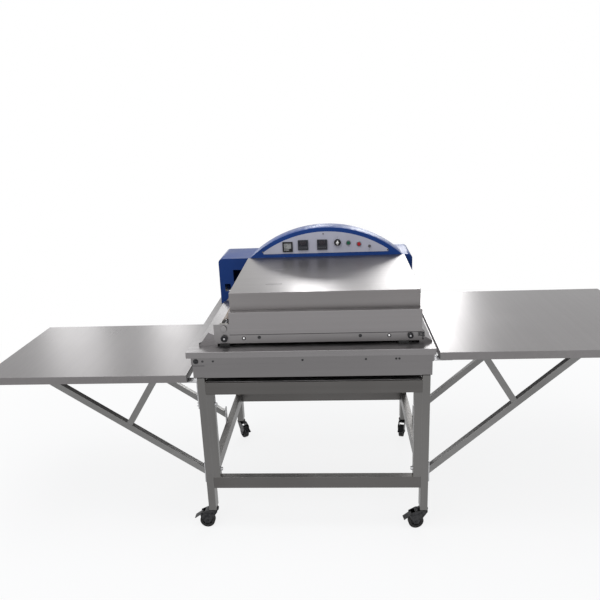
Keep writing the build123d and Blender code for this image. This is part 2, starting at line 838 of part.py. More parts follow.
shoe_way = atan2(wheel_radius - pedal_pivot_height, -pedal_pivot_ahead) + radians(shoe_lead)
axle_to_pivot = hypot(pedal_pivot_ahead, pedal_pivot_height - wheel_radius)
shoe_out = axle_to_pivot - wheel_radius - shoe_room - shoe_radius
shoe_spot = (
    pedal_pivot_out + shoe_out * cos(shoe_way),
    pedal_pivot_height + shoe_out * sin(shoe_way),
)
for castor_name, (side, y, angle) in castors.items():
    plan, flank = castor_planes(side, y, angle)

    # Fork with its race, bridge, two arms and riveted axle
    with BuildPart() as fork:
        with BuildSketch(flank):
            Polygon(*arm_outline, align=None)
        extrude(amount=fork_outside, both=True)
        with BuildSketch(plan.offset(bridge_bottom)):
            Circle(race_radius)
        extrude(amount=fork_bridge)
        with BuildSketch(plan):
            Rectangle(fork_span, 2 * fork_inside)
        extrude(amount=bridge_bottom, mode=Mode.SUBTRACT)
        with BuildSketch(plan):
            Circle(king_pin_radius + running_room)
        extrude(amount=castor_height, mode=Mode.SUBTRACT)
        with BuildSketch(flank):
            with Locations(pivot_spot):
                Circle(pedal_pin_radius + running_room)
        extrude(amount=fork_outside, both=True, mode=Mode.SUBTRACT)
        with BuildSketch(flank):
            with Locations(axle_spot):
                Circle(axle_radius)
        extrude(amount=fork_outside, both=True)
        for face in (-1, 1):
            with BuildSketch(flank.offset(face * fork_outside)):
                with Locations(axle_spot):
                    Circle(axle_head_radius)
            extrude(amount=face * axle_head)
    fork.part.label = f"castor_fork_{castor_name}"
    export_step(fork.part, f"parts/castor_fork_{castor_name}.step")

    # Wheel with rounded tread edges and a recess in each side
    with BuildPart() as wheel:
        with BuildSketch(flank):
            with Locations(axle_spot):
                Circle(wheel_radius)
        extrude(amount=wheel_wide / 2, both=True)
        fillet(wheel.edges(), wheel_edge)
        for face in (-1, 1):
            with BuildSketch(flank.offset(face * wheel_wide / 2)):
                with Locations(axle_spot):
                    Circle(wheel_radius - tyre_wall)
                    Circle(axle_radius + hub_wall, mode=Mode.SUBTRACT)
            extrude(amount=-face * wheel_recess, mode=Mode.SUBTRACT)
        with BuildSketch(flank):
            with Locations(axle_spot):
                Circle(axle_radius + running_room)
        extrude(amount=wheel_wide, both=True, mode=Mode.SUBTRACT)
    wheel.part.label = f"castor_wheel_{castor_name}"
    export_step(wheel.part, f"parts/castor_wheel_{castor_name}.step")

    # Brake pedal: barrel on its pin, sloping tread and a shoe that bears on the tyre
    with BuildPart() as pedal:
        with BuildSketch(flank):
            with Locations(pivot_spot):
                Circle(pedal_barrel_radius)
            with Locations(shoe_spot):
                Circle(shoe_radius)
            Polygon(
                pedal_point(0, pedal_barrel_radius),
                pedal_point(pedal_long, pedal_barrel_radius),
                pedal_point(pedal_long, pedal_barrel_radius - pedal_sheet),
                pedal_point(0, pedal_barrel_radius - pedal_sheet),
                align=None,
            )
        extrude(amount=fork_inside - pedal_room, both=True)
        with BuildSketch(flank):
            with Locations(pivot_spot):
                Circle(pedal_pin_radius)
        extrude(amount=fork_outside + pedal_pin_proud, both=True)
    pedal.part.label = f"castor_pedal_{castor_name}"
    export_step(pedal.part, f"parts/castor_pedal_{castor_name}.step")

# Press head on four rubber feet
foot_xs = (-plate_left + foot_inset_left, plate_right - foot_inset_right)
foot_ys = (plate_front + plate_thick / 2, plate_rear - plate_thick / 2)
with BuildPart() as machine_feet:
    with BuildSketch(Plane.XY.offset(deck_top)):
        with Locations(*[(across(x), behind(y)) for x in foot_xs for y in foot_ys]):
            Rectangle(foot_long, foot_wide)
    extrude(amount=head_base_gap)
machine_feet.part.label = "machine_feet"
export_step(machine_feet.part, "parts/machine_feet.step")

# Two frame plates that carry the rollers, and the tie bars between them
drive_x = -drive_roller_left
idler_x = idler_roller_right
roller_spots = [(x, z) for x in (drive_x, idler_x) for z in (lower_roller_height, upper_roller_height)]
plate_hood_left = hood_left - hood_sheet - plate_edge_room
plate_hood_right = hood_right - hood_sheet - plate_edge_room
plate_outline = [
    (-plate_left, head_bottom),
    (plate_right, head_bottom),
    (plate_right, plate_toe_top),
    (plate_hood_right, plate_toe_top + toe_rise),
    (plate_hood_right, plate_top),
    (-plate_hood_left, plate_top),
    (-plate_hood_left, plate_ear_top),
    (-plate_left, plate_ear_top),
]
with BuildPart() as frame_plates:
    for rear_face in (plate_front + plate_thick, plate_rear):
        with BuildSketch(upright(rear_face)):
            Polygon(*[(across(x), z) for x, z in plate_outline], align=None)
            with Locations(*[(across(x), z) for x, z in roller_spots]):
                Circle(shaft_radius + shaft_hole_room, mode=Mode.SUBTRACT)
        extrude(amount=plate_thick)
    with BuildSketch(upright(plate_rear - plate_thick - tie_seat_room)):
        with Locations((across(-tie_bar_left), tie_bar_height), (across(tie_bar_right), tie_bar_height)):
            Circle(tie_bar_radius)
    extrude(amount=plate_rear - plate_front - 2 * (plate_thick + tie_seat_room))
frame_plates.part.label = "frame_plates"
export_step(frame_plates.part, "parts/frame_plates.step")

# Front cover: sheet with a level ledge folded back under the hood
with BuildPart() as front_cover:
    with BuildSketch(Plane.YZ.offset(across(-cover_left))):
        Polygon(
            (behind(cover_front), cover_bottom),
            (behind(cover_front + cover_sheet), cover_bottom),
            (behind(cover_front + cover_sheet), ledge_height - cover_sheet),
            (behind(cover_front + ledge_depth), ledge_height - cover_sheet),
            (behind(cover_front + ledge_depth), ledge_height),
            (behind(cover_front), ledge_height),
            align=None,
        )
    extrude(amount=cover_left + cover_right)
front_cover.part.label = "front_cover"
export_step(front_cover.part, "parts/front_cover.step")

# Hood over the heating chamber: sloping top, front skirt and an end sheet over each mouth
def hood_section(inset):
    """Side outline of the hood; inset is the distance in from its outer faces."""
    return [
        (behind(hood_front + inset), ledge_height),
        (behind(hood_front + inset), hood_front_top - inset),
        (behind(box_front), box_top - inset),
        (behind(box_front), ledge_height),
    ]


with BuildPart() as hood_cover:
    with BuildSketch(Plane.YZ.offset(across(-hood_left))):
        Polygon(*hood_section(0), align=None)
    extrude(amount=hood_left + hood_right)
    with Locations((across(-hood_left), behind(hood_front + end_setback), hood_end_bottom)):
        Box(
            hood_left + hood_right,
            box_front - hood_front - end_setback,
            ledge_height - hood_end_bottom,
            align=corner,
        )
    with BuildSketch(Plane.YZ.offset(across(-hood_left + hood_sheet))):
        Polygon(*hood_section(hood_sheet), align=None)
    extrude(amount=hood_left + hood_right - 2 * hood_sheet, mode=Mode.SUBTRACT)
    with Locations((across(-hood_left + hood_sheet), behind(hood_front), hood_end_bottom)):
        Box(
            hood_left + hood_right - 2 * hood_sheet,
            box_front - hood_front,
            ledge_height - hood_end_bottom,
            align=corner,
            mode=Mode.SUBTRACT,
        )
    for slot_x, slot_y, slot_long in vent_slots:
        with Locations((across(slot_x), behind(slot_y), hood_front_top - hood_sheet)):
            Box(slot_long, slot_wide, box_top - hood_front_top, align=corner, mode=Mode.SUBTRACT)
hood_cover.part.label = "hood_cover"
export_step(hood_cover.part, "parts/hood_cover.step")

# Delivery chute on the left: lip on the deck, slope up to the lower belt, two cheeks
chute_inner = drive_roller_left + belt_outer + mouth_room
cheek_front = plate_front + plate_thick
cheek_rear = plate_rear - plate_thick
cheek_inner_x = plate_left - cheek_inset
chute_outline = [
    (-chute_lip_left, deck_top),
    (-chute_lip_left + chute_sheet, deck_top),
    (-chute_lip_left + chute_sheet, deck_top + chute_lip_tall - chute_sheet),
    (-chute_inner, chute_top_height - chute_sheet),
    (-chute_inner, chute_top_height),
    (-chute_lip_left, deck_top + chute_lip_tall),
]
cheek_outline = [
    (-chute_lip_left, deck_top),
    (-cheek_inner_x, deck_top),
    (-cheek_inner_x, cheek_inner_height),
    (-cheek_peak_left, cheek_peak_height),
]
with BuildPart() as delivery_chute:
    with BuildSketch(upright(cheek_rear)):
        Polygon(*[(across(x), z) for x, z in chute_outline], align=None)
    extrude(amount=cheek_rear - cheek_front)
    for rear_face in (cheek_front + cheek_thick, cheek_rear):
        with BuildSketch(upright(rear_face)):
            Polygon(*[(across(x), z) for x, z in cheek_outline], align=None)
        extrude(amount=cheek_thick)
delivery_chute.part.label = "delivery_chute"
export_step(delivery_chute.part, "parts/delivery_chute.step")

# Infeed plate on the right: the same fold, mirrored and steeper
infeed_inner = idler_roller_right + belt_outer + mouth_room
infeed_outline = [
    (infeed_lip_right, deck_top),
    (infeed_lip_right - chute_sheet, deck_top),
    (infeed_lip_right - chute_sheet, deck_top + infeed_lip_tall - chute_sheet),
    (infeed_inner, infeed_top_height - chute_sheet),
    (infeed_inner, infeed_top_height),
    (infeed_lip_right, deck_top + infeed_lip_tall),
]
infeed_cheek = [
    (infeed_lip_right, deck_top),
    (infeed_inner + infeed_cheek_inset, deck_top),
    (infeed_inner + infeed_cheek_inset, infeed_top_height - infeed_cheek_drop),
]
with BuildPart() as infeed_plate:
    with BuildSketch(upright(cheek_rear)):
        Polygon(*[(across(x), z) for x, z in infeed_outline], align=None)
    extrude(amount=cheek_rear - cheek_front)
    for rear_face in (cheek_front + cheek_thick, cheek_rear):
        with BuildSketch(upright(rear_face)):
            Polygon(*[(across(x), z) for x, z in infeed_cheek], align=None)
        extrude(amount=cheek_thick)
infeed_plate.part.label = "infeed_plate"
export_step(infeed_plate.part, "parts/infeed_plate.step")

# Two coated belts, each an endless loop round a drive roller and an idler
belt_run = drive_roller_left + idler_roller_right
belt_mid = (idler_roller_right - drive_roller_left) / 2
for belt_name, height in (("lower_belt", lower_roller_height), ("upper_belt", upper_roller_height)):
    with BuildPart() as belt:
        with BuildSketch(upright(belt_rear)):
            with Locations((across(belt_mid), height)):
                SlotCenterToCenter(belt_run, 2 * belt_outer)
                SlotCenterToCenter(belt_run, 2 * (roller_radius + belt_room), mode=Mode.SUBTRACT)
        extrude(amount=belt_wide)
    belt.part.label = belt_name
    export_step(belt.part, f"parts/{belt_name}.step")

# Rollers: drum and shaft in one, with a cap screw on the ends that show in front
rollers = {
    "lower_drive_roller": (drive_x, lower_roller_height, True, True),
    "lower_idler_roller": (idler_x, lower_roller_height, True, False),
    "upper_drive_roller": (drive_x, upper_roller_height, True, True),
    "upper_idler_roller": (idler_x, upper_roller_height, False, False),
}
gear_rear = gear_front + gear_wide
for roller_name, (x, height, capped, geared) in rollers.items():
    shaft_rear = gear_rear + shaft_past_gear if geared else plate_rear
    with BuildPart() as roller:
        with BuildSketch(upright(belt_rear + roller_over)):
            with Locations((across(x), height)):
                Circle(roller_radius)
        extrude(amount=belt_wide + 2 * roller_over)
        with BuildSketch(upright(shaft_rear)):
            with Locations((across(x), height)):
                Circle(shaft_radius)
        extrude(amount=shaft_rear - plate_front + (cap_room if capped else -cap_room))
        if capped:
            with BuildSketch(upright(plate_front - cap_room)):
                with Locations((across(x), height)):
                    RegularPolygon(shaft_cap_radius, 6)
            extrude(amount=shaft_cap)
    roller.part.label = roller_name
    export_step(roller.part, f"parts/{roller_name}.step")

# Flanged bearings bolted to the inner faces of the frame plates
with BuildPart() as roller_bearings:
    for rear_face in (plate_front + plate_thick + bearing_thick, plate_rear - plate_thick):
        with BuildSketch(upright(rear_face)):
            with Locations(*[(across(x), z) for x, z in roller_spots]):
                RectangleRounded(bearing_wide, bearing_tall, bearing_corner)
                Circle(shaft_radius + running_room, mode=Mode.SUBTRACT)
        extrude(amount=bearing_thick)
roller_bearings.part.label = "roller_bearings"
export_step(roller_bearings.part, "parts/roller_bearings.step")

# Heated platens inside the loops, hung from cross bars between the frame plates
upper_platen_low = upper_roller_height - roller_radius - belt_room + platen_room
lower_platen_high = lower_roller_height + roller_radius + belt_room - platen_room
platen_long = platen_left + platen_right
bar_xs = (-platen_left + platen_bar_inset, platen_right - platen_bar_inset)
rod_xs = [-platen_left + platen_long * (i + 0.5) / rod_count for i in range(rod_count)]
rod_heights = (upper_platen_low + platen_thick / 2, lower_platen_high - platen_thick / 2)
platens = (
    ("upper_platen", upper_platen_low, upper_platen_low + platen_thick - platen_bar_tall),
    ("lower_platen", lower_platen_high - platen_thick, lower_platen_high - platen_thick),
)
for platen_name, low, bar_low in platens:
    with BuildPart() as platen:
        with Locations((across(-platen_left), behind(belt_front), low)):
            Box(platen_long, belt_wide, platen_thick, align=corner)
        for x in bar_xs:
            with Locations((across(x - platen_bar_wide / 2), behind(cheek_front), bar_low)):
                Box(platen_bar_wide, cheek_rear - cheek_front, platen_bar_tall, align=corner)
        with BuildSketch(upright(belt_rear)):
            with Locations(*[(across(x), low + platen_thick / 2) for x in rod_xs]):
                Circle(rod_radius)
        extrude(amount=belt_wide, mode=Mode.SUBTRACT)
    platen.part.label = platen_name
    export_step(platen.part, f"parts/{platen_name}.step")

with BuildPart() as heater_rods:
    with BuildSketch(upright(belt_rear + rod_proud)):
        with Locations(*[(across(x), z) for x in rod_xs for z in rod_heights]):
            Circle(rod_radius)
    extrude(amount=belt_wide + 2 * rod_proud)
heater_rods.part.label = "heater_rods"
export_step(heater_rods.part, "parts/heater_rods.step")


def gear_outline(teeth, first_angle):
    """Straight-sided teeth on a pitch circle; one tooth points along first_angle in degrees."""
    pitch_radius = gear_module * teeth / 2
    tip = pitch_radius + tooth_addendum * gear_module
    root = pitch_radius - tooth_dedendum * gear_module
    flanks = (
        (root, -tooth_foot_share),
        (tip, -tooth_tip_share),
        (tip, tooth_tip_share),
        (root, tooth_foot_share),
    )
    step = 2 * pi / teeth
    points = []
    for tooth in range(teeth):
        middle = radians(first_angle) + tooth * step
        for radius, share in flanks:
            turn = middle + share * step
            points.append((radius * cos(turn), radius * sin(turn)))
    return points


# Meshed pair on the drive rollers' shafts, inside the rear housing
gear_step = 360 / gear_teeth
gears = (
    ("lower_gear", lower_roller_height, 90.0),
    ("upper_gear", upper_roller_height, 90.0 + gear_step / 2),
)
for gear_name, height, first_angle in gears:
    with BuildPart() as gear:
        with BuildSketch(upright(gear_rear)):
            with Locations((across(drive_x), height)):
                Polygon(*gear_outline(gear_teeth, first_angle), align=None)
                Circle(shaft_radius, mode=Mode.SUBTRACT)
        extrude(amount=gear_wide)
    gear.part.label = gear_name
    export_step(gear.part, f"parts/{gear_name}.step")

# Motor pinion to the left of the lower gear, on its own shaft
mesh_angle = 180.0
pinion_far = gear_module * (gear_teeth + pinion_teeth) / 2
pinion_x = drive_x + pinion_far * cos(radians(mesh_angle))
pinion_z = lower_roller_height + pinion_far * sin(radians(mesh_angle))
pinion_phase = mesh_angle + 180 + 180 / pinion_teeth
motor_front = gear_rear + shaft_past_gear
with BuildPart() as motor_pinion:
    with BuildSketch(upright(gear_rear)):
        with Locations((across(pinion_x), pinion_z)):
            Polygon(*gear_outline(pinion_teeth, pinion_phase), align=None)
    extrude(amount=gear_wide)
    with BuildSketch(upright(motor_front + gearbox_long / 2)):
        with Locations((across(pinion_x), pinion_z)):
            Circle(motor_shaft_radius)
    extrude(amount=motor_front + gearbox_long / 2 - gear_rear)
motor_pinion.part.label = "motor_pinion"
export_step(motor_pinion.part, "parts/motor_pinion.step")

# Geared motor on a foot plate
with BuildPart() as drive_motor:
    with BuildSketch(upright(motor_front + gearbox_long)):
        with Locations((across(pinion_x), pinion_z)):
            RectangleRounded(gearbox_side, gearbox_side, gearbox_corner)
    extrude(amount=gearbox_long)
    with BuildSketch(upright(motor_front + gearbox_long + motor_long)):
        with Locations((across(pinion_x), pinion_z)):
            Circle(motor_radius)
    extrude(amount=motor_long)
    with Locations((across(pinion_x - gearbox_side / 2), behind(motor_front), deck_top)):
        Box(gearbox_side, gearbox_long + motor_long / 2, motor_foot, align=corner)
    with Locations((across(pinion_x - gearbox_side / 4), behind(motor_front), deck_top)):
        Box(gearbox_side / 2, gearbox_long, pinion_z - deck_top, align=corner)
    with BuildSketch(upright(motor_front + gearbox_long / 2)):
        with Locations((across(pinion_x), pinion_z)):
            Circle(motor_shaft_radius + running_room)
    extrude(amount=gearbox_long / 2, mode=Mode.SUBTRACT)
drive_motor.part.label = "drive_motor"
export_step(drive_motor.part, "parts/drive_motor.step")

# Rear housing: painted shell, open at the back and below, with windows beside the hood
box_wide = box_left + box_right
windows = (
    (-plate_left - window_high_out, deck_top + window_high_over_deck, *window_high_size),
    (-plate_left - window_low_out, deck_top + window_low_over_deck, *window_low_size),
)
with BuildPart() as rear_housing:
    with BuildSketch(upright(box_front + box_deep)):
        with BuildLine():
            Polyline(
                (across(-box_left), box_top - box_corner),
                (across(-box_left), deck_top),
                (across(box_right), deck_top),
                (across(box_right), box_top - box_corner),
            )
            TangentArc(
                (across(box_right), box_top - box_corner),
                (across(box_right - box_corner), box_top),
                tangent=(0, 1),
            )
            Line((across(box_right - box_corner), box_top), (across(-box_left + box_corner), box_top))
            TangentArc(
                (across(-box_left + box_corner), box_top),
                (across(-box_left), box_top - box_corner),
                tangent=(-1, 0),
            )
        make_face()
    extrude(amount=box_deep)
    outside = rear_housing.faces().sort_by(Axis.Y)
    offset(amount=-box_sheet, openings=[outside[-1], rear_housing.faces().sort_by(Axis.Z)[0]])
    for x, z, wide, tall in windows:
        with Locations((across(x), behind(box_front), z)):
            Box(wide, box_sheet, tall, align=corner, mode=Mode.SUBTRACT)
    with BuildSketch(upright(box_front + box_sheet)):
        with Locations((across(drive_x), (lower_roller_height + upper_roller_height) / 2)):
            SlotCenterToCenter(
                upper_roller_height - lower_roller_height,
                2 * (shaft_radius + shaft_slot_room),
                rotation=90,
            )
    extrude(amount=box_sheet, mode=Mode.SUBTRACT)
    with BuildSketch(Plane.YZ.offset(across(box_right - box_sheet))):
        with Locations((behind(gland_y), gland_z)):
            Circle(gland_neck_radius)
    extrude(amount=box_sheet, mode=Mode.SUBTRACT)
rear_housing.part.label = "rear_housing"
export_step(rear_housing.part, "parts/rear_housing.step")

# Back panel with rows of vent slots, fitted inside the shell's rear edge
panel_rear = box_front + box_deep - back_inset
inner_corner = box_corner - box_sheet
with BuildPart() as back_panel:
    with BuildSketch(upright(panel_rear)):
        with BuildLine():
            Polyline(
                (across(-box_left + box_sheet), box_top - box_corner),
                (across(-box_left + box_sheet), deck_top),
                (across(box_right - box_sheet), deck_top),
                (across(box_right - box_sheet), box_top - box_corner),
            )
            TangentArc(
                (across(box_right - box_sheet), box_top - box_corner),
                (across(box_right - box_corner), box_top - box_sheet),
                tangent=(0, 1),
            )
            Line(
                (across(box_right - box_corner), box_top - box_sheet),
                (across(-box_left + box_corner), box_top - box_sheet),
            )
            TangentArc(
                (across(-box_left + box_corner), box_top - box_sheet),
                (across(-box_left + box_sheet), box_top - box_corner),
                tangent=(-1, 0),
            )
        make_face()
        for side in (-1, 1):
            with Locations((across(side * box_wide / 4), (deck_top + box_top) / 2)):
                with GridLocations(vent_spread, vent_pitch, vent_columns, vent_count):
                    SlotOverall(vent_long, vent_tall, mode=Mode.SUBTRACT)
    extrude(amount=box_sheet)
back_panel.part.label = "back_panel"
export_step(back_panel.part, "parts/back_panel.step")

# Arched control hood: a circle segment on the housing's front edge
arch_chord = arch_left + arch_right
arch_radius = ((arch_chord / 2) ** 2 + arch_rise**2) / (2 * arch_rise)
arch_centre = box_top + arch_rise - arch_radius
panel_low = box_top + panel_bottom_margin
panel_radius = arch_radius - panel_margin


def segment_face(radius, low):
    """Circle segment above a level chord, about the arch's own centre."""
    half = sqrt(radius**2 - (low - arch_centre) ** 2)
    with BuildLine() as outline:
        Line((across(arch_mid - half), low), (across(arch_mid + half), low))
        ThreePointArc(
            (across(arch_mid + half), low),
            (across(arch_mid), arch_centre + radius),
            (across(arch_mid - half), low),
        )
    return outline


instrument_holes = [(ammeter_x, ammeter_z)] + controller_places
round_holes = [
    (knob_x, knob_z, knob_shaft_radius + running_room),
    (green_x, green_z, bezel_radius - bezel_wall),
    (red_x, red_z, bezel_radius - bezel_wall),
    (toggle_x, toggle_z, toggle_stem_radius),
]
with BuildPart() as control_hood:
    with BuildSketch(upright(box_front + arch_deep)):
        add(segment_face(arch_radius, box_top))
        make_face()
    extrude(amount=arch_deep)
    with BuildSketch(upright(box_front + arch_deep - arch_sheet)):
        add(segment_face(arch_radius - arch_sheet, box_top))
        make_face()
    extrude(amount=arch_deep - 2 * arch_sheet, mode=Mode.SUBTRACT)
    with BuildSketch(upright(box_front + arch_sheet)):
        with Locations(*[(across(x), z) for x, z in instrument_holes]):
            Rectangle(instrument_body + 2 * instrument_room, instrument_body + 2 * instrument_room)
        for x, z, radius in round_holes:
            with Locations((across(x), z)):
                Circle(radius)
    extrude(amount=arch_sheet, mode=Mode.SUBTRACT)
control_hood.part.label = "control_hood"
export_step(control_hood.part, "parts/control_hood.step")

# Light grey panel on the arch's face
with BuildPart() as control_panel:
    with BuildSketch(upright(box_front)) as panel_sketch:
        add(segment_face(panel_radius, panel_low))
        make_face()
        fillet(panel_sketch.vertices(), panel_corner)
        with Locations(*[(across(x), z) for x, z in instrument_holes]):
            Rectangle(
                instrument_body + 2 * instrument_room,
                instrument_body + 2 * instrument_room,
                mode=Mode.SUBTRACT,
            )
        for x, z, radius in round_holes:
            with Locations((across(x), z)):
                Circle(radius, mode=Mode.SUBTRACT)
    extrude(amount=panel_thick)
control_panel.part.label = "control_panel"
export_step(control_panel.part, "parts/control_panel.step")

# Analog current meter: case with a recessed dial, pivoting needle and clear window
panel_face = box_front - panel_thick
bezel_face = panel_face - instrument_proud
dial_face = bezel_face + window_sink + dial_deep
with BuildPart() as ammeter_case:
    with BuildSketch(upright(panel_face + instrument_long)):
        with Locations((across(ammeter_x), ammeter_z)):
            Rectangle(instrument_body, instrument_body)
    extrude(amount=instrument_long)
    with BuildSketch(upright(panel_face)):
        with Locations((across(ammeter_x), ammeter_z)):
            RectangleRounded(instrument_face, instrument_face, instrument_corner)
    extrude(amount=instrument_proud)
    with BuildSketch(upright(dial_face)):
        with Locations((across(ammeter_x), ammeter_z)):
            Rectangle(dial_side, dial_side)
    extrude(amount=dial_face - bezel_face, mode=Mode.SUBTRACT)
ammeter_case.part.label = "ammeter_case"
export_step(ammeter_case.part, "parts/ammeter_case.step")

needle_foot_z = ammeter_z - dial_side / 2 + needle_from_foot
needle_x = ammeter_x + dial_side / 2 - needle_from_right
needle_front = dial_face - needle_lift
with BuildPart() as ammeter_needle:
    with BuildSketch(upright(needle_front)):
        with Locations((across(needle_x), needle_foot_z)):
            Circle(needle_hub_radius)
            with PolarLocations(needle_long / 2, 1, start_angle=needle_angle):
                Rectangle(needle_long, needle_wide)
    extrude(amount=needle_thick)
    with BuildSketch(upright(dial_face - needle_room)):
        with Locations((across(needle_x), needle_foot_z)):
            Circle(needle_pin_radius)
    extrude(amount=needle_lift - needle_room)
ammeter_needle.part.label = "ammeter_needle"
export_step(ammeter_needle.part, "parts/ammeter_needle.step")

with BuildPart() as ammeter_window:
    with BuildSketch(upright(bezel_face + window_sink)):
        with Locations((across(ammeter_x), ammeter_z)):
            Rectangle(dial_side, dial_side)
    extrude(amount=window_thick)
ammeter_window.part.label = "ammeter_window"
export_step(ammeter_window.part, "parts/ammeter_window.step")

# Two digital temperature controllers with a framed screen
with BuildPart() as temperature_controllers:
    for place in controller_places:
        with BuildSketch(upright(panel_face + instrument_long)):
            with Locations((across(place[0]), place[1])):
                Rectangle(instrument_body, instrument_body)
        extrude(amount=instrument_long)
        with BuildSketch(upright(panel_face)):
            with Locations((across(place[0]), place[1])):
                RectangleRounded(instrument_face, instrument_face, instrument_corner)
        extrude(amount=instrument_proud)
        with BuildSketch(upright(bezel_face + screen_sink)):
            with Locations((across(place[0]), place[1])):
                Rectangle(screen_side, screen_side)
        extrude(amount=screen_sink, mode=Mode.SUBTRACT)
temperature_controllers.part.label = "temperature_controllers"
export_step(temperature_controllers.part, "parts/temperature_controllers.step")

# Speed knob: skirted, with a raised pointer bar and a shaft through the panel
with BuildPart() as speed_knob:
    with BuildSketch(upright(panel_face - knob_room)):
        with Locations((across(knob_x), knob_z)):
            Circle(knob_radius)
    extrude(amount=knob_skirt)
    with BuildSketch(upright(panel_face - knob_room - knob_skirt)):
        with Locations((across(knob_x), knob_z)):
            Circle(knob_radius - knob_skirt)
    extrude(amount=knob_tall - knob_skirt, taper=knob_taper)
    with BuildSketch(upright(panel_face - knob_room - knob_tall)):
        with Locations((across(knob_x), knob_z + knob_mark_up)):
            Rectangle(*knob_mark)
    extrude(amount=-knob_mark_deep, mode=Mode.SUBTRACT)
    with BuildSketch(upright(box_front + arch_sheet + knob_shaft_long)):
        with Locations((across(knob_x), knob_z)):
            Circle(knob_shaft_radius)
    extrude(amount=panel_thick + arch_sheet + knob_shaft_long + knob_room)
speed_knob.part.label = "speed_knob"
export_step(speed_knob.part, "parts/speed_knob.step")

# Start and stop push buttons in their bezels
button_face = panel_face - bezel_proud - button_proud + button_travel
button_stem = bezel_deep - button_travel - button_stem_room
for button_name, x, z in (("green_button", green_x, green_z), ("red_button", red_x, red_z)):
    with BuildPart() as button:
        with BuildSketch(upright(panel_face)):
            with Locations((across(x), z)):
                Circle(button_radius - button_room)
        extrude(amount=panel_face - button_face)
        fillet(button.faces().sort_by(Axis.Y)[0].edges(), button_edge)
        with BuildSketch(upright(box_front + button_stem)):
            with Locations((across(x), z)):
                Circle(button_stem_radius)
        extrude(amount=button_stem + panel_thick)
    button.part.label = button_name
    export_step(button.part, f"parts/{button_name}.step")

# Bezels, toggle collar, potentiometer behind the knob, and the panel's screws
with BuildPart() as panel_fittings:
    for x, z in ((green_x, green_z), (red_x, red_z)):
        with BuildSketch(upright(panel_face)):
            with Locations((across(x), z)):
                Circle(bezel_radius)
        extrude(amount=bezel_proud)
        with BuildSketch(upright(box_front + bezel_deep)):
            with Locations((across(x), z)):
                Circle(bezel_radius - bezel_wall)
        extrude(amount=bezel_deep + panel_thick)
        with BuildSketch(upright(box_front + bezel_deep - bezel_floor)):
            with Locations((across(x), z)):
                Circle(button_radius)
        extrude(amount=bezel_deep + panel_thick + bezel_proud, mode=Mode.SUBTRACT)
    with BuildSketch(upright(panel_face)):
        with Locations((across(toggle_x), toggle_z)):
            RegularPolygon(toggle_nut_radius, 6)
    extrude(amount=toggle_nut)
    with BuildSketch(upright(box_front + bezel_deep)):
        with Locations((across(toggle_x), toggle_z)):
            Circle(toggle_stem_radius)
    extrude(amount=bezel_deep + panel_thick + toggle_collar)
    with BuildSketch(upright(panel_face + toggle_bore_deeper)):
        with Locations((across(toggle_x), toggle_z)):
            Circle(toggle_ball_radius + toggle_ball_room)
    extrude(amount=toggle_collar + toggle_bore_deeper, mode=Mode.SUBTRACT)
    with BuildSketch(upright(box_front + arch_sheet + pot_deep)):
        with Locations((across(knob_x), knob_z)):
            Circle(pot_radius)
    extrude(amount=pot_deep)
    with BuildSketch(upright(box_front + arch_sheet + knob_shaft_long + shaft_end_room)):
        with Locations((across(knob_x), knob_z)):
            Circle(knob_shaft_radius + running_room)
    extrude(amount=knob_shaft_long + shaft_end_room, mode=Mode.SUBTRACT)
    with BuildSketch(upright(panel_face)):
        with Locations(*[(across(x), z) for x, z in screw_places]):
            Circle(screw_head_radius)
    extrude(amount=screw_head)
panel_fittings.part.label = "panel_fittings"
export_step(panel_fittings.part, "parts/panel_fittings.step")

# Toggle lever on a ball inside its collar, tipped down at rest
toggle_pivot_y = panel_face - toggle_collar + toggle_ball_radius
lever_plane = Plane(
    origin=(across(toggle_x), behind(toggle_pivot_y), toggle_z),
    x_dir=(1, 0, 0),
    z_dir=(0, -cos(radians(toggle_tilt)), -sin(radians(toggle_tilt))),
)
with BuildPart() as toggle_lever:
    with Locations((across(toggle_x), behind(toggle_pivot_y), toggle_z)):
        Sphere(toggle_ball_radius)
    with BuildSketch(lever_plane):
        Circle(toggle_radius)
    extrude(amount=toggle_long, taper=toggle_flare)
    fillet(toggle_lever.faces().sort_by(Axis.Y)[0].edges(), toggle_tip)
toggle_lever.part.label = "toggle_lever"
export_step(toggle_lever.part, "parts/toggle_lever.step")

# Cable gland on the right end of the rear housing, with its lock nut inside
with BuildPart() as cable_gland:
    gland_plane = Plane.YZ.offset(across(box_right))
    with BuildSketch(gland_plane):
        with Locations((behind(gland_y), gland_z)):
            RegularPolygon(gland_radius, 6)
    extrude(amount=gland_nut)
    with BuildSketch(gland_plane.offset(gland_nut)):
        with Locations((behind(gland_y), gland_z)):
            Circle(gland_neck_radius)
    extrude(amount=gland_long - gland_nut, taper=gland_taper)
    with BuildSketch(gland_plane.offset(-box_sheet)):
        with Locations((behind(gland_y), gland_z)):
            Circle(gland_neck_radius)
    extrude(amount=box_sheet)
    with BuildSketch(gland_plane.offset(-box_sheet - gland_nut)):
        with Locations((behind(gland_y), gland_z)):
            RegularPolygon(gland_radius, 6)
    extrude(amount=gland_nut)
    with BuildSketch(gland_plane.offset(-box_sheet - gland_nut)):
        with Locations((behind(gland_y), gland_z)):
            Circle(gland_bore)
    extrude(amount=gland_nut + box_sheet + gland_long, mode=Mode.SUBTRACT)
cable_gland.part.label = "cable_gland"
export_step(cable_gland.part, "parts/cable_gland.step")

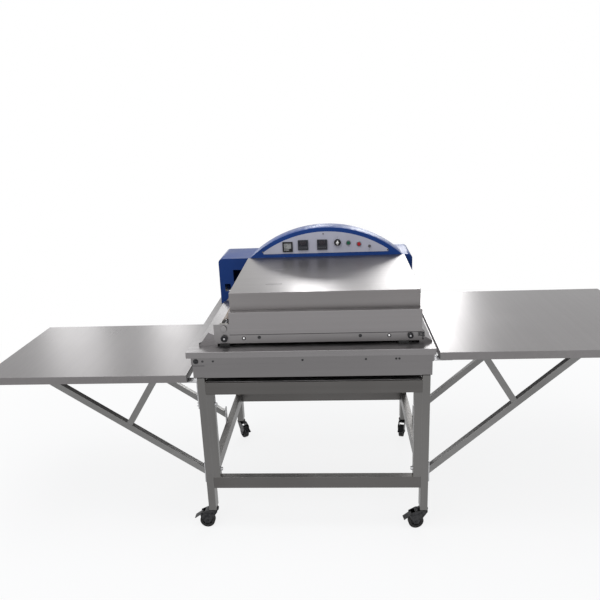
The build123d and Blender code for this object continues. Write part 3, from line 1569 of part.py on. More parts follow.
# Relays and terminals on a rail fixed to the back panel
relay_back = panel_rear - box_sheet
with BuildPart() as relay_rail:
    with Locations((across(relay_rail_x), behind(relay_back - relay_rail_deep / 2), relay_z)):
        Box(relay_rail_long, relay_rail_deep, relay_rail_tall)
    for i in range(relay_count):
        spot = relay_rail_x + (i - (relay_count - 1) / 2) * (relay_wide + relay_space)
        with Locations((across(spot), behind(relay_back - relay_rail_deep - relay_deep / 2), relay_z)):
            Box(relay_wide, relay_deep, relay_tall)
relay_rail.part.label = "relay_rail"
export_step(relay_rail.part, "parts/relay_rail.step")

print("half length", round(right_reach + stand_x), round(left_reach - stand_x))
print("depth", box_front + box_deep + table_proud, "height", round(box_top + arch_rise))
print("drive roller", across(drive_x), upper_roller_height, "pinion", across(pinion_x), pinion_z)
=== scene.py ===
"""Looks of a continuous fusing press on a wheeled stand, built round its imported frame.

Everything is in metres in the frame's own axes: X along the belts towards the infeed table,
Y from the operator to the back, Z up from the floor.
"""

import json
import logging
import math
from dataclasses import dataclass
from enum import Enum
from typing import Callable, Iterable, Sequence

import bmesh
import bpy
from mathutils import Matrix, Vector


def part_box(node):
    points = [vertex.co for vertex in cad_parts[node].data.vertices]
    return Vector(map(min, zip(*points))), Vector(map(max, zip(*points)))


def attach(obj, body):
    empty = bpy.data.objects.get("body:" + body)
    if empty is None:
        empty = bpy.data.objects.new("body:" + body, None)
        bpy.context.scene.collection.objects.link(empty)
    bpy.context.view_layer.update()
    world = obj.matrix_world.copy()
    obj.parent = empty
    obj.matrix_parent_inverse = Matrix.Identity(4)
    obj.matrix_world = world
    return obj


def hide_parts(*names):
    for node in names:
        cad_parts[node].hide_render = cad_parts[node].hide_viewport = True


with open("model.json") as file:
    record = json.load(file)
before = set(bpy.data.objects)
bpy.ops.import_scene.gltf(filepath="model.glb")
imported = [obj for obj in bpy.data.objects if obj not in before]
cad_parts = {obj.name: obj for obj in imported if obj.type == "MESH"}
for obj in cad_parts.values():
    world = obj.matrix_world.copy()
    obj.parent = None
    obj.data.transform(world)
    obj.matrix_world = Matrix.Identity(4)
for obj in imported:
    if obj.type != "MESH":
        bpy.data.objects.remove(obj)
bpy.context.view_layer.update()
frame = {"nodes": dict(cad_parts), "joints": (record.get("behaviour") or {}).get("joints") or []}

LOG = logging.getLogger("fusing_press")
MATERIALS: dict[str, bpy.types.Material] = {}

Point = Colour = tuple[float, float, float]
Flat = tuple[float, float]
Layer = tuple[Sequence[Flat], float]
Node = bpy.types.Node
Socket = bpy.types.NodeSocket
Piece = bpy.types.Object


class Slot(Enum):
    """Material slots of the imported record."""

    STAND = "brushed_stand"
    SHEET = "polished_sheet"
    BLUE = "blue_paint"
    PANEL = "panel_grey"
    BLACK = "black_plastic"
    RUBBER = "black_rubber"
    ZINC = "zinc"
    BELT = "belt_cloth"
    PLATEN = "platen_metal"
    ROLLER = "roller_metal"
    GEAR = "gear_steel"
    MOTOR = "motor_paint"
    GREEN = "green_plastic"
    RED = "red_plastic"
    GLASS = "meter_glass"


class Grain(Enum):
    """Way a sheet or tube was brushed: noise scale on faces that look along Y, then along X."""

    LEVEL = ((5.0, 700.0, 700.0), (700.0, 5.0, 700.0))
    UPRIGHT = ((700.0, 700.0, 5.0), (700.0, 700.0, 5.0))
    DEPTH = ((700.0, 5.0, 700.0), (700.0, 5.0, 700.0))


class Face(Enum):
    """Where a turned or flat piece looks: the way its own Z points in the frame."""

    FRONT = (0.0, -1.0, 0.0)
    BACK = (0.0, 1.0, 0.0)
    LEFT = (-1.0, 0.0, 0.0)
    RIGHT = (1.0, 0.0, 0.0)
    UP = (0.0, 0.0, 1.0)


def facing(where: Sequence[float], face: Face | Sequence[float]) -> Matrix:
    """Placement whose own Z looks along a face.

    Args:
        where: Origin in the frame.
        face: A named face, or the direction itself.

    Returns:
        The placement; on an upright face its own Y points up as far as it can.
    """
    out = Vector(face.value if isinstance(face, Face) else face).normalized()
    up = Vector((0.0, 0.0, 1.0)) if abs(out.z) < 0.9 else Vector((0.0, 1.0, 0.0))
    side = up.cross(out).normalized()
    turn = Matrix((side, out.cross(side), out)).transposed().to_4x4()
    return Matrix.Translation(Vector(where)) @ turn


def front(x: float, y: float, z: float) -> Matrix:
    """Placement on a face that looks at the operator."""
    return facing((x, y, z), Face.FRONT)


def raised(place: Matrix, height: float) -> Matrix:
    """Placement moved along its own Z."""
    return place @ Matrix.Translation((0.0, 0.0, height))


class NodeSheet:
    """A shader node tree with short ways to add nodes and join them."""

    def __init__(self, tree: bpy.types.NodeTree) -> None:
        """Starts on an empty tree."""
        self.tree = tree
        self.count = 0

    @classmethod
    def of(cls, owner: bpy.types.Material | bpy.types.World) -> "NodeSheet":
        """Emptied sheet of a material or world."""
        owner.use_nodes = True
        owner.node_tree.nodes.clear()
        return cls(owner.node_tree)

    def add(self, kind: str, values: dict | None = None, **settings: object) -> Node:
        """Adds a node.

        Args:
            kind: Node type name.
            values: Socket name or index to a constant, or to a socket that feeds it.
            settings: Node properties.

        Returns:
            The new node.
        """
        node = self.tree.nodes.new(kind)
        node.location = (190.0 * self.count, -170.0 * (self.count % 4))
        self.count += 1
        for key, value in settings.items():
            setattr(node, key, value)
        for key, value in (values or {}).items():
            self.feed(node.inputs[key], value)
        return node

    def feed(self, socket: Socket, value: object) -> None:
        """Joins a socket to another one or gives it a constant; colours get full alpha."""
        if isinstance(value, bpy.types.NodeSocket):
            self.tree.links.new(value, socket)
        else:
            socket.default_value = (*value, 1.0) if socket.type == "RGBA" else value

    def math(self, operation: str, a: object, b: object) -> Socket:
        """Result of a Math node on two values or sockets."""
        return self.add("ShaderNodeMath", {0: a, 1: b}, operation=operation).outputs[0]

    def times(self, a: object, b: object) -> Socket:
        """Product."""
        return self.math("MULTIPLY", a, b)

    def plus(self, a: object, b: object) -> Socket:
        """Sum."""
        return self.math("ADD", a, b)

    def normal(self) -> Socket:
        """The surface's own normal."""
        return self.add("ShaderNodeNewGeometry").outputs["Normal"]

    def parts(self, vector: Socket) -> list[Socket]:
        """X, Y and Z of a vector."""
        return list(self.add("ShaderNodeSeparateXYZ", {0: vector}).outputs)

    def noise(self, place: object, scale: object, detail: float = 2.0) -> Socket:
        """Value of a noise texture at a place."""
        values = {"Vector": place, "Scale": scale, "Detail": detail}
        return self.add("ShaderNodeTexNoise", values).outputs[0]

    def stretched(self, place: object, stretch: object, scale: float, detail: float) -> Socket:
        """Noise drawn out by a vector."""
        long = self.add("ShaderNodeVectorMath", {0: place, 1: stretch}, operation="MULTIPLY")
        return self.noise(long.outputs[0], scale, detail)

    def fade(self, value: object, low: object, high: object) -> Socket:
        """Smooth step of a value from low to high."""
        values = {0: value, 1: low, 2: high}
        return self.add("ShaderNodeMapRange", values, interpolation_type="SMOOTHSTEP").outputs[0]

    def mean(self, share: object, a: object, b: object) -> Socket:
        """Mix of two numbers by a share."""
        return self.add("ShaderNodeMix", {0: share, 2: a, 3: b}, data_type="FLOAT").outputs[0]

    def coats(self, tone: object, *layers: tuple[object, Colour]) -> Socket:
        """Colour with further colours laid over it, each by its share."""
        for share, colour in layers:
            tone = self.add("ShaderNodeMix", {0: share, 6: tone, 7: colour}, data_type="RGBA").outputs[2]
        return tone

    def bump(self, height: object, strength: float, distance: float) -> Socket:
        """Normal of a height map, with the height in metres at full strength."""
        values = {"Strength": strength, "Distance": distance, "Height": height}
        return self.add("ShaderNodeBump", values).outputs[0]

    def mixed_shaders(self, share: Socket, first: Node, second: Node, output: str) -> None:
        """Output of two shaders mixed by a share."""
        mix = self.add("ShaderNodeMixShader", {0: share, 1: first.outputs[0], 2: second.outputs[0]})
        self.add(output, {"Surface": mix.outputs[0]})


@dataclass(frozen=True)
class Effect:
    """A surface effect kept as a shader node group, made once and placed in many materials.

    Inputs map a socket's name to its default; None makes a vector socket.
    """

    name: str
    inputs: dict[str, float | None]
    outputs: tuple[str, ...]
    wire: Callable[[NodeSheet, dict, dict], None]

    def tree(self) -> bpy.types.NodeTree:
        """The group's tree, made on first use."""
        found = bpy.data.node_groups.get(self.name)
        if found:
            return found
        tree = bpy.data.node_groups.new(self.name, "ShaderNodeTree")
        for label, value in self.inputs.items():
            kind = "NodeSocketVector" if value is None else "NodeSocketFloat"
            socket = tree.interface.new_socket(label, in_out="INPUT", socket_type=kind)
            if value is not None:
                socket.default_value = value
        for label in self.outputs:
            tree.interface.new_socket(label, in_out="OUTPUT", socket_type="NodeSocketFloat")
        sheet = NodeSheet(tree)
        entry = sheet.add("NodeGroupInput")
        leave = sheet.add("NodeGroupOutput")
        given = {label: entry.outputs[label] for label in self.inputs}
        self.wire(sheet, given, {label: leave.inputs[label] for label in self.outputs})
        return tree

    def on(self, sheet: NodeSheet, place: Socket, **values: object) -> list[Socket]:
        """Puts the group in a material and gives its outputs."""
        values["Place"] = place
        return list(sheet.add("ShaderNodeGroup", values, node_tree=self.tree()).outputs)


def wire_grain(sheet: NodeSheet, given: dict, out: dict) -> None:
    """Brush lines, fine and in wider bands, drawn out one way on front faces and another on sides."""
    is_side = sheet.fade(sheet.math("ABSOLUTE", sheet.parts(sheet.normal())[0], 0.0), 0.4, 0.7)
    for label, scale in (("Streak", 1.0), ("Band", 0.09)):
        ahead, side = (sheet.stretched(given["Place"], given[way], scale, 3.0) for way in ("Front", "Side"))
        sheet.feed(out[label], sheet.fade(sheet.mean(is_side, ahead, side), 0.3, 0.7))


def wire_cloud(sheet: NodeSheet, given: dict, out: dict) -> None:
    """Soft patches, as handling, wiping and uneven rolling leave on a sheet."""
    wide = sheet.noise(given["Place"], given["Size"], 2.0)
    fine = sheet.noise(given["Place"], sheet.times(given["Size"], 7.0), 3.0)
    sheet.feed(out["Mask"], sheet.fade(sheet.mean(0.12, wide, fine), given["Low"], given["High"]))


def wire_scratch(sheet: NodeSheet, given: dict, out: dict) -> None:
    """Sparse thin scratches, most of them along the brushing and a few across it."""
    limit = given["Limit"]
    along, across = (sheet.stretched(given["Place"], given[way], 1.0, 1.0) for way in ("Along", "Across"))
    first = sheet.fade(along, limit, sheet.plus(limit, 0.05))
    second = sheet.fade(across, sheet.plus(limit, 0.03), 0.82)
    sheet.feed(out["Mask"], sheet.math("MAXIMUM", first, second))


def wire_wear(sheet: NodeSheet, given: dict, out: dict) -> None:
    """Rubbed edges: where a rounded normal leaves the true one, broken up by noise."""
    rounded = sheet.add("ShaderNodeBevel", {"Radius": given["Width"]}, samples=4).outputs[0]
    same = sheet.add("ShaderNodeVectorMath", {0: rounded, 1: sheet.normal()}, operation="DOT_PRODUCT")
    edge = sheet.fade(sheet.math("SUBTRACT", 1.0, same.outputs["Value"]), 0.01, 0.16)
    rough = sheet.fade(sheet.noise(given["Place"], given["Grit"], 4.0), 0.35, 0.6)
    sheet.feed(out["Mask"], sheet.times(edge, rough))


def wire_dust(sheet: NodeSheet, given: dict, out: dict) -> None:
    """Fine dust on faces that look up, thicker in soft patches."""
    lies = sheet.fade(sheet.parts(sheet.normal())[2], 0.5, 0.95)
    patch = sheet.fade(sheet.noise(given["Place"], given["Size"], 5.0), 0.35, 0.75)
    sheet.feed(out["Mask"], sheet.times(sheet.times(lies, patch), given["Amount"]))


def wire_weave(sheet: NodeSheet, given: dict, out: dict) -> None:
    """Plain weave: threads both ways, one over the other in turn."""
    turn = sheet.math("DIVIDE", 2.0 * math.pi, given["Pitch"])
    x, y, _ = sheet.parts(given["Place"])
    warp, weft = (sheet.math("SINE", sheet.times(way, turn), 0.0) for way in (x, y))
    sheet.feed(out["Height"], sheet.plus(sheet.times(sheet.times(warp, weft), 0.5), 0.5))


def wire_peel(sheet: NodeSheet, given: dict, out: dict) -> None:
    """Orange peel of sprayed enamel, or the fine grain of moulded plastic."""
    wide = sheet.noise(given["Place"], given["Size"], 1.0)
    fine = sheet.noise(given["Place"], sheet.times(given["Size"], 3.1), 2.0)
    sheet.feed(out["Height"], sheet.mean(0.35, wide, fine))


MASK, HEIGHT = ("Mask",), ("Height",)
GRAIN = Effect("brush_grain", {"Place": None, "Front": None, "Side": None}, ("Streak", "Band"), wire_grain)
CLOUD = Effect("cloudy_patches", {"Place": None, "Size": 3.0, "Low": 0.35, "High": 0.65}, MASK, wire_cloud)
SCRATCH = Effect(
    "thin_scratches", {"Place": None, "Along": None, "Across": None, "Limit": 0.7}, MASK, wire_scratch
)
WEAR = Effect("edge_wear", {"Place": None, "Width": 0.0016, "Grit": 60.0}, MASK, wire_wear)
DUST = Effect("settled_dust", {"Place": None, "Size": 9.0, "Amount": 0.3}, MASK, wire_dust)
WEAVE = Effect("plain_weave", {"Place": None, "Pitch": 0.0012}, HEIGHT, wire_weave)
PEEL = Effect("orange_peel", {"Place": None, "Size": 700.0}, HEIGHT, wire_peel)


def scaled(colour: Colour, factor: float, most: float = 1.0) -> Colour:
    """Colour made darker or lighter, up to a greatest value."""
    return tuple(min(most, channel * factor) for channel in colour)


@dataclass(frozen=True)
class Finish:
    """A finish of one material: its name and the record's slot that it belongs to."""

    name: str
    slot: Slot

    def material(self) -> bpy.types.Material:
        """The material, made on first use."""
        if self.name not in MATERIALS:
            made = bpy.data.materials.new(self.name)
            MATERIALS[self.name] = made
            sheet = NodeSheet.of(made)
            shader = sheet.add("ShaderNodeBsdfPrincipled")
            self.wire(sheet, shader.inputs, sheet.add("ShaderNodeTexCoord").outputs["Object"])
            sheet.add("ShaderNodeOutputMaterial", {"Surface": shader.outputs[0]})
        return MATERIALS[self.name]

    def wire(self, sheet: NodeSheet, shader: bpy.types.NodeInputs, place: Socket) -> None:
        """Feeds the shader's inputs; each kind of finish has its own way.

        Args:
            sheet: The material's nodes.
            shader: The inputs of its shader.
            place: Where the shaded point lies.
        """
        raise NotImplementedError


@dataclass(frozen=True)
class Steel(Finish):
    """Bare or plated metal: brushed, clouded by handling, scratched and worn at its edges."""

    dark: Colour
    light: Colour
    smooth: float = 0.3
    rough: float = 0.42
    cloud_size: float = 3.0
    grain: Grain = Grain.LEVEL
    scratch_limit: float = 0.72
    dust: float = 0.12
    depth: float = 0.000008

    def wire(self, sheet: NodeSheet, shader: bpy.types.NodeInputs, place: Socket) -> None:
        """Brush grain drives roughness and a fine bump, patches and scratches the colour."""
        ahead, side = self.grain.value
        streak, band = GRAIN.on(sheet, place, Front=ahead, Side=side)
        patch = CLOUD.on(sheet, place, Size=self.cloud_size)[0]
        ways = {"Along": scaled(ahead, 0.4, math.inf), "Across": (240.0, 9.0, 90.0)}
        lines = SCRATCH.on(sheet, place, Limit=self.scratch_limit, **ways)[0]
        worn = WEAR.on(sheet, place)[0]
        dust = DUST.on(sheet, place, Amount=self.dust)[0]
        bright = scaled(self.light, 1.35, 0.9)
        tone = sheet.coats(
            self.dark,
            (patch, self.light),
            (sheet.times(streak, 0.3), self.light),
            (sheet.times(band, 0.16), scaled(self.dark, 0.8)),
            (sheet.times(lines, 0.22), bright),
            (sheet.times(worn, 0.5), bright),
            (dust, (0.42, 0.41, 0.39)),
        )
        sheet.feed(shader["Base Color"], tone)
        base = sheet.plus(sheet.mean(streak, self.smooth, self.rough), sheet.times(patch, 0.05))
        sheet.feed(shader["Roughness"], sheet.plus(base, sheet.times(dust, 0.4)))
        sheet.feed(shader["Metallic"], sheet.math("SUBTRACT", 1.0, dust))
        height = sheet.math("SUBTRACT", streak, sheet.times(lines, 1.5))
        sheet.feed(shader["Normal"], sheet.bump(height, 0.5, self.depth))


@dataclass(frozen=True)
class Enamel(Finish):
    """Sprayed paint: orange peel, rubbed edges that show the metal, dust on top."""

    colour: Colour
    worn: Colour
    gloss: float
    peel: float = 420.0
    dust: float = 0.1
    shine: float = 0.16

    def wire(self, sheet: NodeSheet, shader: bpy.types.NodeInputs, place: Socket) -> None:
        """Peel drives the bump, wear and dust the colour and roughness."""
        patch = CLOUD.on(sheet, place, Size=5.0)[0]
        worn = WEAR.on(sheet, place, Width=0.001, Grit=90.0)[0]
        dust = DUST.on(sheet, place, Amount=self.dust)[0]
        layers = (patch, self.colour), (sheet.times(worn, 0.6), self.worn), (dust, (0.4, 0.4, 0.4))
        sheet.feed(shader["Base Color"], sheet.coats(scaled(self.colour, 0.86), *layers))
        base = sheet.plus(self.gloss, sheet.times(patch, 0.08))
        sheet.feed(shader["Roughness"], sheet.plus(base, sheet.times(dust, 0.5)))
        sheet.feed(shader["Specular IOR Level"], self.shine)
        height = PEEL.on(sheet, place, Size=self.peel)[0]
        sheet.feed(shader["Normal"], sheet.bump(height, 0.25, 0.0003))


@dataclass(frozen=True)
class Moulding(Finish):
    """Moulded plastic or rubber with a fine texture and a paler, rubbed edge."""

    colour: Colour
    rubbed: Colour
    gloss: float
    texture: float = 1600.0
    texture_depth: float = 0.00008
    dust: float = 0.1
    shine: float = 0.25

    def wire(self, sheet: NodeSheet, shader: bpy.types.NodeInputs, place: Socket) -> None:
        """Texture drives the bump and the edge wear pales the colour."""
        worn = WEAR.on(sheet, place, Width=0.0005, Grit=150.0)[0]
        dust = DUST.on(sheet, place, Amount=self.dust, Size=30.0)[0]
        patch = CLOUD.on(sheet, place, Size=18.0)[0]
        layers = (sheet.times(worn, 0.7), self.rubbed), (dust, (0.3, 0.29, 0.28))
        sheet.feed(shader["Base Color"], sheet.coats(self.colour, *layers))
        sheet.feed(shader["Roughness"], sheet.mean(patch, self.gloss, self.gloss + 0.12))
        sheet.feed(shader["Specular IOR Level"], self.shine)
        height = PEEL.on(sheet, place, Size=self.texture)[0]
        sheet.feed(shader["Normal"], sheet.bump(height, 0.35, self.texture_depth))


@dataclass(frozen=True)
class CoatedCloth(Finish):
    """Glass cloth with a brown slippery coating, scuffed where work has run on it."""

    colour: Colour
    scuffed: Colour
    pitch: float = 0.0016

    def wire(self, sheet: NodeSheet, shader: bpy.types.NodeInputs, place: Socket) -> None:
        """Weave drives the bump, scuffs the colour."""
        weave = WEAVE.on(sheet, place, Pitch=self.pitch)[0]
        scuff = CLOUD.on(sheet, place, Size=14.0, Low=0.45, High=0.7)[0]
        layers = (sheet.times(scuff, 0.6), self.scuffed), (sheet.times(weave, 0.2), self.scuffed)
        sheet.feed(shader["Base Color"], sheet.coats(self.colour, *layers))
        sheet.feed(shader["Roughness"], sheet.mean(scuff, 0.38, 0.55))
        sheet.feed(shader["Normal"], sheet.bump(weave, 0.5, 0.0001))


@dataclass(frozen=True)
class Glass(Finish):
    """Clear moulded window with faint wipe marks."""

    tint: Colour

    def wire(self, sheet: NodeSheet, shader: bpy.types.NodeInputs, place: Socket) -> None:
        """Wipe marks dull a thin clear sheet."""
        for label, value in (("Transmission Weight", 1.0), ("IOR", 1.3), ("Roughness", 0.0)):
            sheet.feed(shader[label], value)
        wipe = CLOUD.on(sheet, place, Size=60.0)[0]
        sheet.feed(shader["Base Color"], sheet.coats(scaled(self.tint, 0.94), (wipe, self.tint)))


TUBE_UPRIGHT = Steel(
    "tube_upright", Slot.STAND, (0.15, 0.147, 0.144), (0.18, 0.176, 0.172), 0.3, 0.42, 1.2, Grain.UPRIGHT
)
TUBE_LEVEL = Steel("tube_level", Slot.STAND, (0.105, 0.101, 0.098), (0.135, 0.13, 0.127), cloud_size=1.2)
BRACE_TUBE = Steel("brace_tube", Slot.STAND, (0.175, 0.173, 0.171), (0.23, 0.228, 0.226))
CABINET_STEEL = Steel("cabinet_steel", Slot.STAND, (0.18, 0.174, 0.176), (0.21, 0.203, 0.205), cloud_size=0.9)
COVER_STEEL = Steel("cover_steel", Slot.SHEET, (0.24, 0.23, 0.233), (0.27, 0.26, 0.263), cloud_size=0.9)
PLATE_STEEL = Steel("plate_steel", Slot.STAND, (0.225, 0.217, 0.219), (0.26, 0.252, 0.254), cloud_size=2.0)
TABLE_STEEL = Steel(
    "table_steel", Slot.SHEET, (0.19, 0.182, 0.184), (0.225, 0.216, 0.218), 0.27, 0.3, 0.8, Grain.DEPTH,
    scratch_limit=0.78, dust=0.02, depth=0.000003,
)
DECK_STEEL = Steel(
    "deck_steel", Slot.SHEET, (0.215, 0.207, 0.21), (0.25, 0.242, 0.245), 0.24, 0.36, 1.4,
    scratch_limit=0.74, dust=0.05,
)
HOOD_STEEL = Steel(
    "hood_steel", Slot.SHEET, (0.205, 0.196, 0.196), (0.245, 0.234, 0.234), 0.3, 0.36, 1.0,
    scratch_limit=0.77, dust=0.02, depth=0.00001,
)
ZINC = Steel(
    "zinc_plate", Slot.ZINC, (0.3, 0.3, 0.31), (0.5, 0.5, 0.51), 0.2, 0.36, 60.0,
    scratch_limit=0.75, dust=0.05,
)
CHROME = Steel(
    "chrome_plate", Slot.ZINC, (0.6, 0.6, 0.61), (0.74, 0.74, 0.75), 0.08, 0.14, 90.0,
    scratch_limit=0.8, dust=0.02,
)
DARK_CHROME = Steel(
    "dark_chrome", Slot.ZINC, (0.09, 0.09, 0.095), (0.2, 0.2, 0.21), 0.14, 0.24, 90.0,
    scratch_limit=0.8, dust=0.02,
)
BLACK_OXIDE = Steel("black_oxide", Slot.GEAR, (0.022, 0.022, 0.024), (0.06, 0.06, 0.062), 0.22, 0.34, 80.0)
ROLLER_STEEL = Steel(
    "ground_roller", Slot.ROLLER, (0.3, 0.3, 0.31), (0.42, 0.42, 0.43), 0.16, 0.26, 20.0, Grain.DEPTH
)
GEAR_STEEL = Steel(
    "oiled_gear", Slot.GEAR, (0.1, 0.095, 0.085), (0.24, 0.23, 0.21), 0.22, 0.36, 40.0, Grain.DEPTH
)
PLATEN_STEEL = Steel("machined_platen", Slot.PLATEN, (0.36, 0.36, 0.36), (0.46, 0.46, 0.46), 0.26, 0.38, 8.0)
WELD_STEEL = Steel("weld_bead", Slot.STAND, (0.1, 0.092, 0.085), (0.24, 0.225, 0.205), 0.25, 0.45, 120.0)
BLUE_ENAMEL = Enamel("blue_enamel", Slot.BLUE, (0.007, 0.036, 0.17), (0.14, 0.17, 0.24), 0.34, dust=0.03)
ARCH_ENAMEL = Enamel("arch_enamel", Slot.BLUE, (0.01, 0.045, 0.2), (0.16, 0.19, 0.27), 0.32, dust=0.02)
PANEL_OVERLAY = Enamel("panel_overlay", Slot.PANEL, (0.43, 0.43, 0.5), (0.66, 0.66, 0.68), 0.45, 900.0, 0.02)
PRINT_WHITE = Enamel("printed_white", Slot.PANEL, (0.84, 0.84, 0.86), (0.9, 0.9, 0.9), 0.5, 1500.0, 0.0)
PRINT_DARK = Enamel("printed_dark", Slot.BLACK, (0.012, 0.012, 0.015), (0.08, 0.08, 0.08), 0.5, 1500.0, 0.0)
MOTOR_ENAMEL = Enamel("motor_enamel", Slot.MOTOR, (0.06, 0.07, 0.08), (0.3, 0.3, 0.3), 0.4)
BLACK_PLASTIC = Moulding("moulded_black", Slot.BLACK, (0.016, 0.016, 0.018), (0.07, 0.07, 0.07), 0.42)
SCREEN_PLASTIC = Moulding(
    "screen_plastic", Slot.BLACK, (0.016, 0.017, 0.024), (0.08, 0.08, 0.1), 0.16, 2400.0, 0.00001, 0.02
)
CASE_PLASTIC = Moulding("case_plastic", Slot.BLACK, (0.03, 0.031, 0.037), (0.11, 0.11, 0.12), 0.45)
KEY_PLASTIC = Moulding("key_plastic", Slot.BLACK, (0.07, 0.07, 0.08), (0.22, 0.22, 0.22), 0.45)
SEGMENT_OFF = Moulding(
    "segment_off", Slot.BLACK, (0.06, 0.034, 0.038), (0.12, 0.1, 0.1), 0.3, 2400.0, 0.00001
)
PEDAL_STEEL = Moulding("pedal_coat", Slot.BLACK, (0.018, 0.018, 0.02), (0.5, 0.5, 0.51), 0.34, 700.0)
TYRE_RUBBER = Moulding("tyre_rubber", Slot.RUBBER, (0.022, 0.021, 0.02), (0.07, 0.067, 0.062), 0.62, 900.0)
HUB_PLASTIC = Moulding("hub_plastic", Slot.BLACK, (0.028, 0.027, 0.027), (0.1, 0.1, 0.1), 0.44)
FOOT_RUBBER = Moulding("foot_rubber", Slot.RUBBER, (0.02, 0.02, 0.02), (0.06, 0.06, 0.06), 0.7)
GREEN_CAP = Moulding(
    "green_cap", Slot.GREEN, (0.006, 0.085, 0.045), (0.06, 0.2, 0.12), 0.18, 2600.0, 0.00001, 0.02
)
RED_CAP = Moulding("red_cap", Slot.RED, (0.36, 0.01, 0.018), (0.5, 0.1, 0.1), 0.18, 2600.0, 0.00001, 0.02)
DIAL_CARD = Moulding("dial_card", Slot.PANEL, (0.46, 0.46, 0.47), (0.7, 0.7, 0.7), 0.6, 1800.0, 0.00001, 0.0)
BELT_CLOTH = CoatedCloth("coated_belt", Slot.BELT, (0.07, 0.04, 0.022), (0.18, 0.12, 0.07))
METER_GLASS = Glass("clear_window", Slot.GLASS, (0.97, 0.98, 0.98))


def around(count: int) -> list[float]:
    """Angles of evenly spaced spots round a full turn."""
    return [2.0 * math.pi * i / count for i in range(count)]


def polygon(radius: float, sides: int, first: float = 0.0) -> list[Flat]:
    """Corners of a regular polygon round the origin."""
    return [(radius * math.cos(first + a), radius * math.sin(first + a)) for a in around(sides)]


def mirrored(half: list[Flat]) -> list[Flat]:
    """Profile with its other half, mirrored in height."""
    return half + [(radius, -height) for radius, height in reversed(half)]


def rounded_rectangle(wide: float, tall: float, radius: float, steps: int = 5) -> list[Flat]:
    """Outline of a rectangle with round corners, about the origin.

    Args:
        wide: Size along X.
        tall: Size along Y.
        radius: Corner radius.
        steps: Straight pieces in each corner.

    Returns:
        Points in order, anticlockwise.
    """
    points = []
    for turn, (sx, sy) in enumerate(((1, 1), (-1, 1), (-1, -1), (1, -1))):
        for i in range(steps + 1):
            a = math.pi / 2 * (turn + i / steps)
            x = sx * (wide / 2 - radius) + radius * math.cos(a)
            y = sy * (tall / 2 - radius) + radius * math.sin(a)
            points.append((x, y))
    return points


def inset(outline: Sequence[Flat], distance: float) -> list[Flat]:
    """Outline moved inwards by a distance, corner by corner.

    Args:
        outline: Points in order, anticlockwise.
        distance: How far each side moves in.

    Returns:
        As many points as there were.
    """
    moved = []
    count = len(outline)
    for i in range(count):
        here = Vector(outline[i])
        before = (here - Vector(outline[i - 1])).normalized()
        after = (Vector(outline[(i + 1) % count]) - here).normalized()
        normal = Vector((-before.y - after.y, before.x + after.x))
        if normal.length < 1e-6:
            moved.append(tuple(here))
            continue
        normal.normalize()
        lean = max(0.35, normal.dot(Vector((-before.y, before.x))))
        moved.append(tuple(here + normal * (distance / lean)))
    return moved


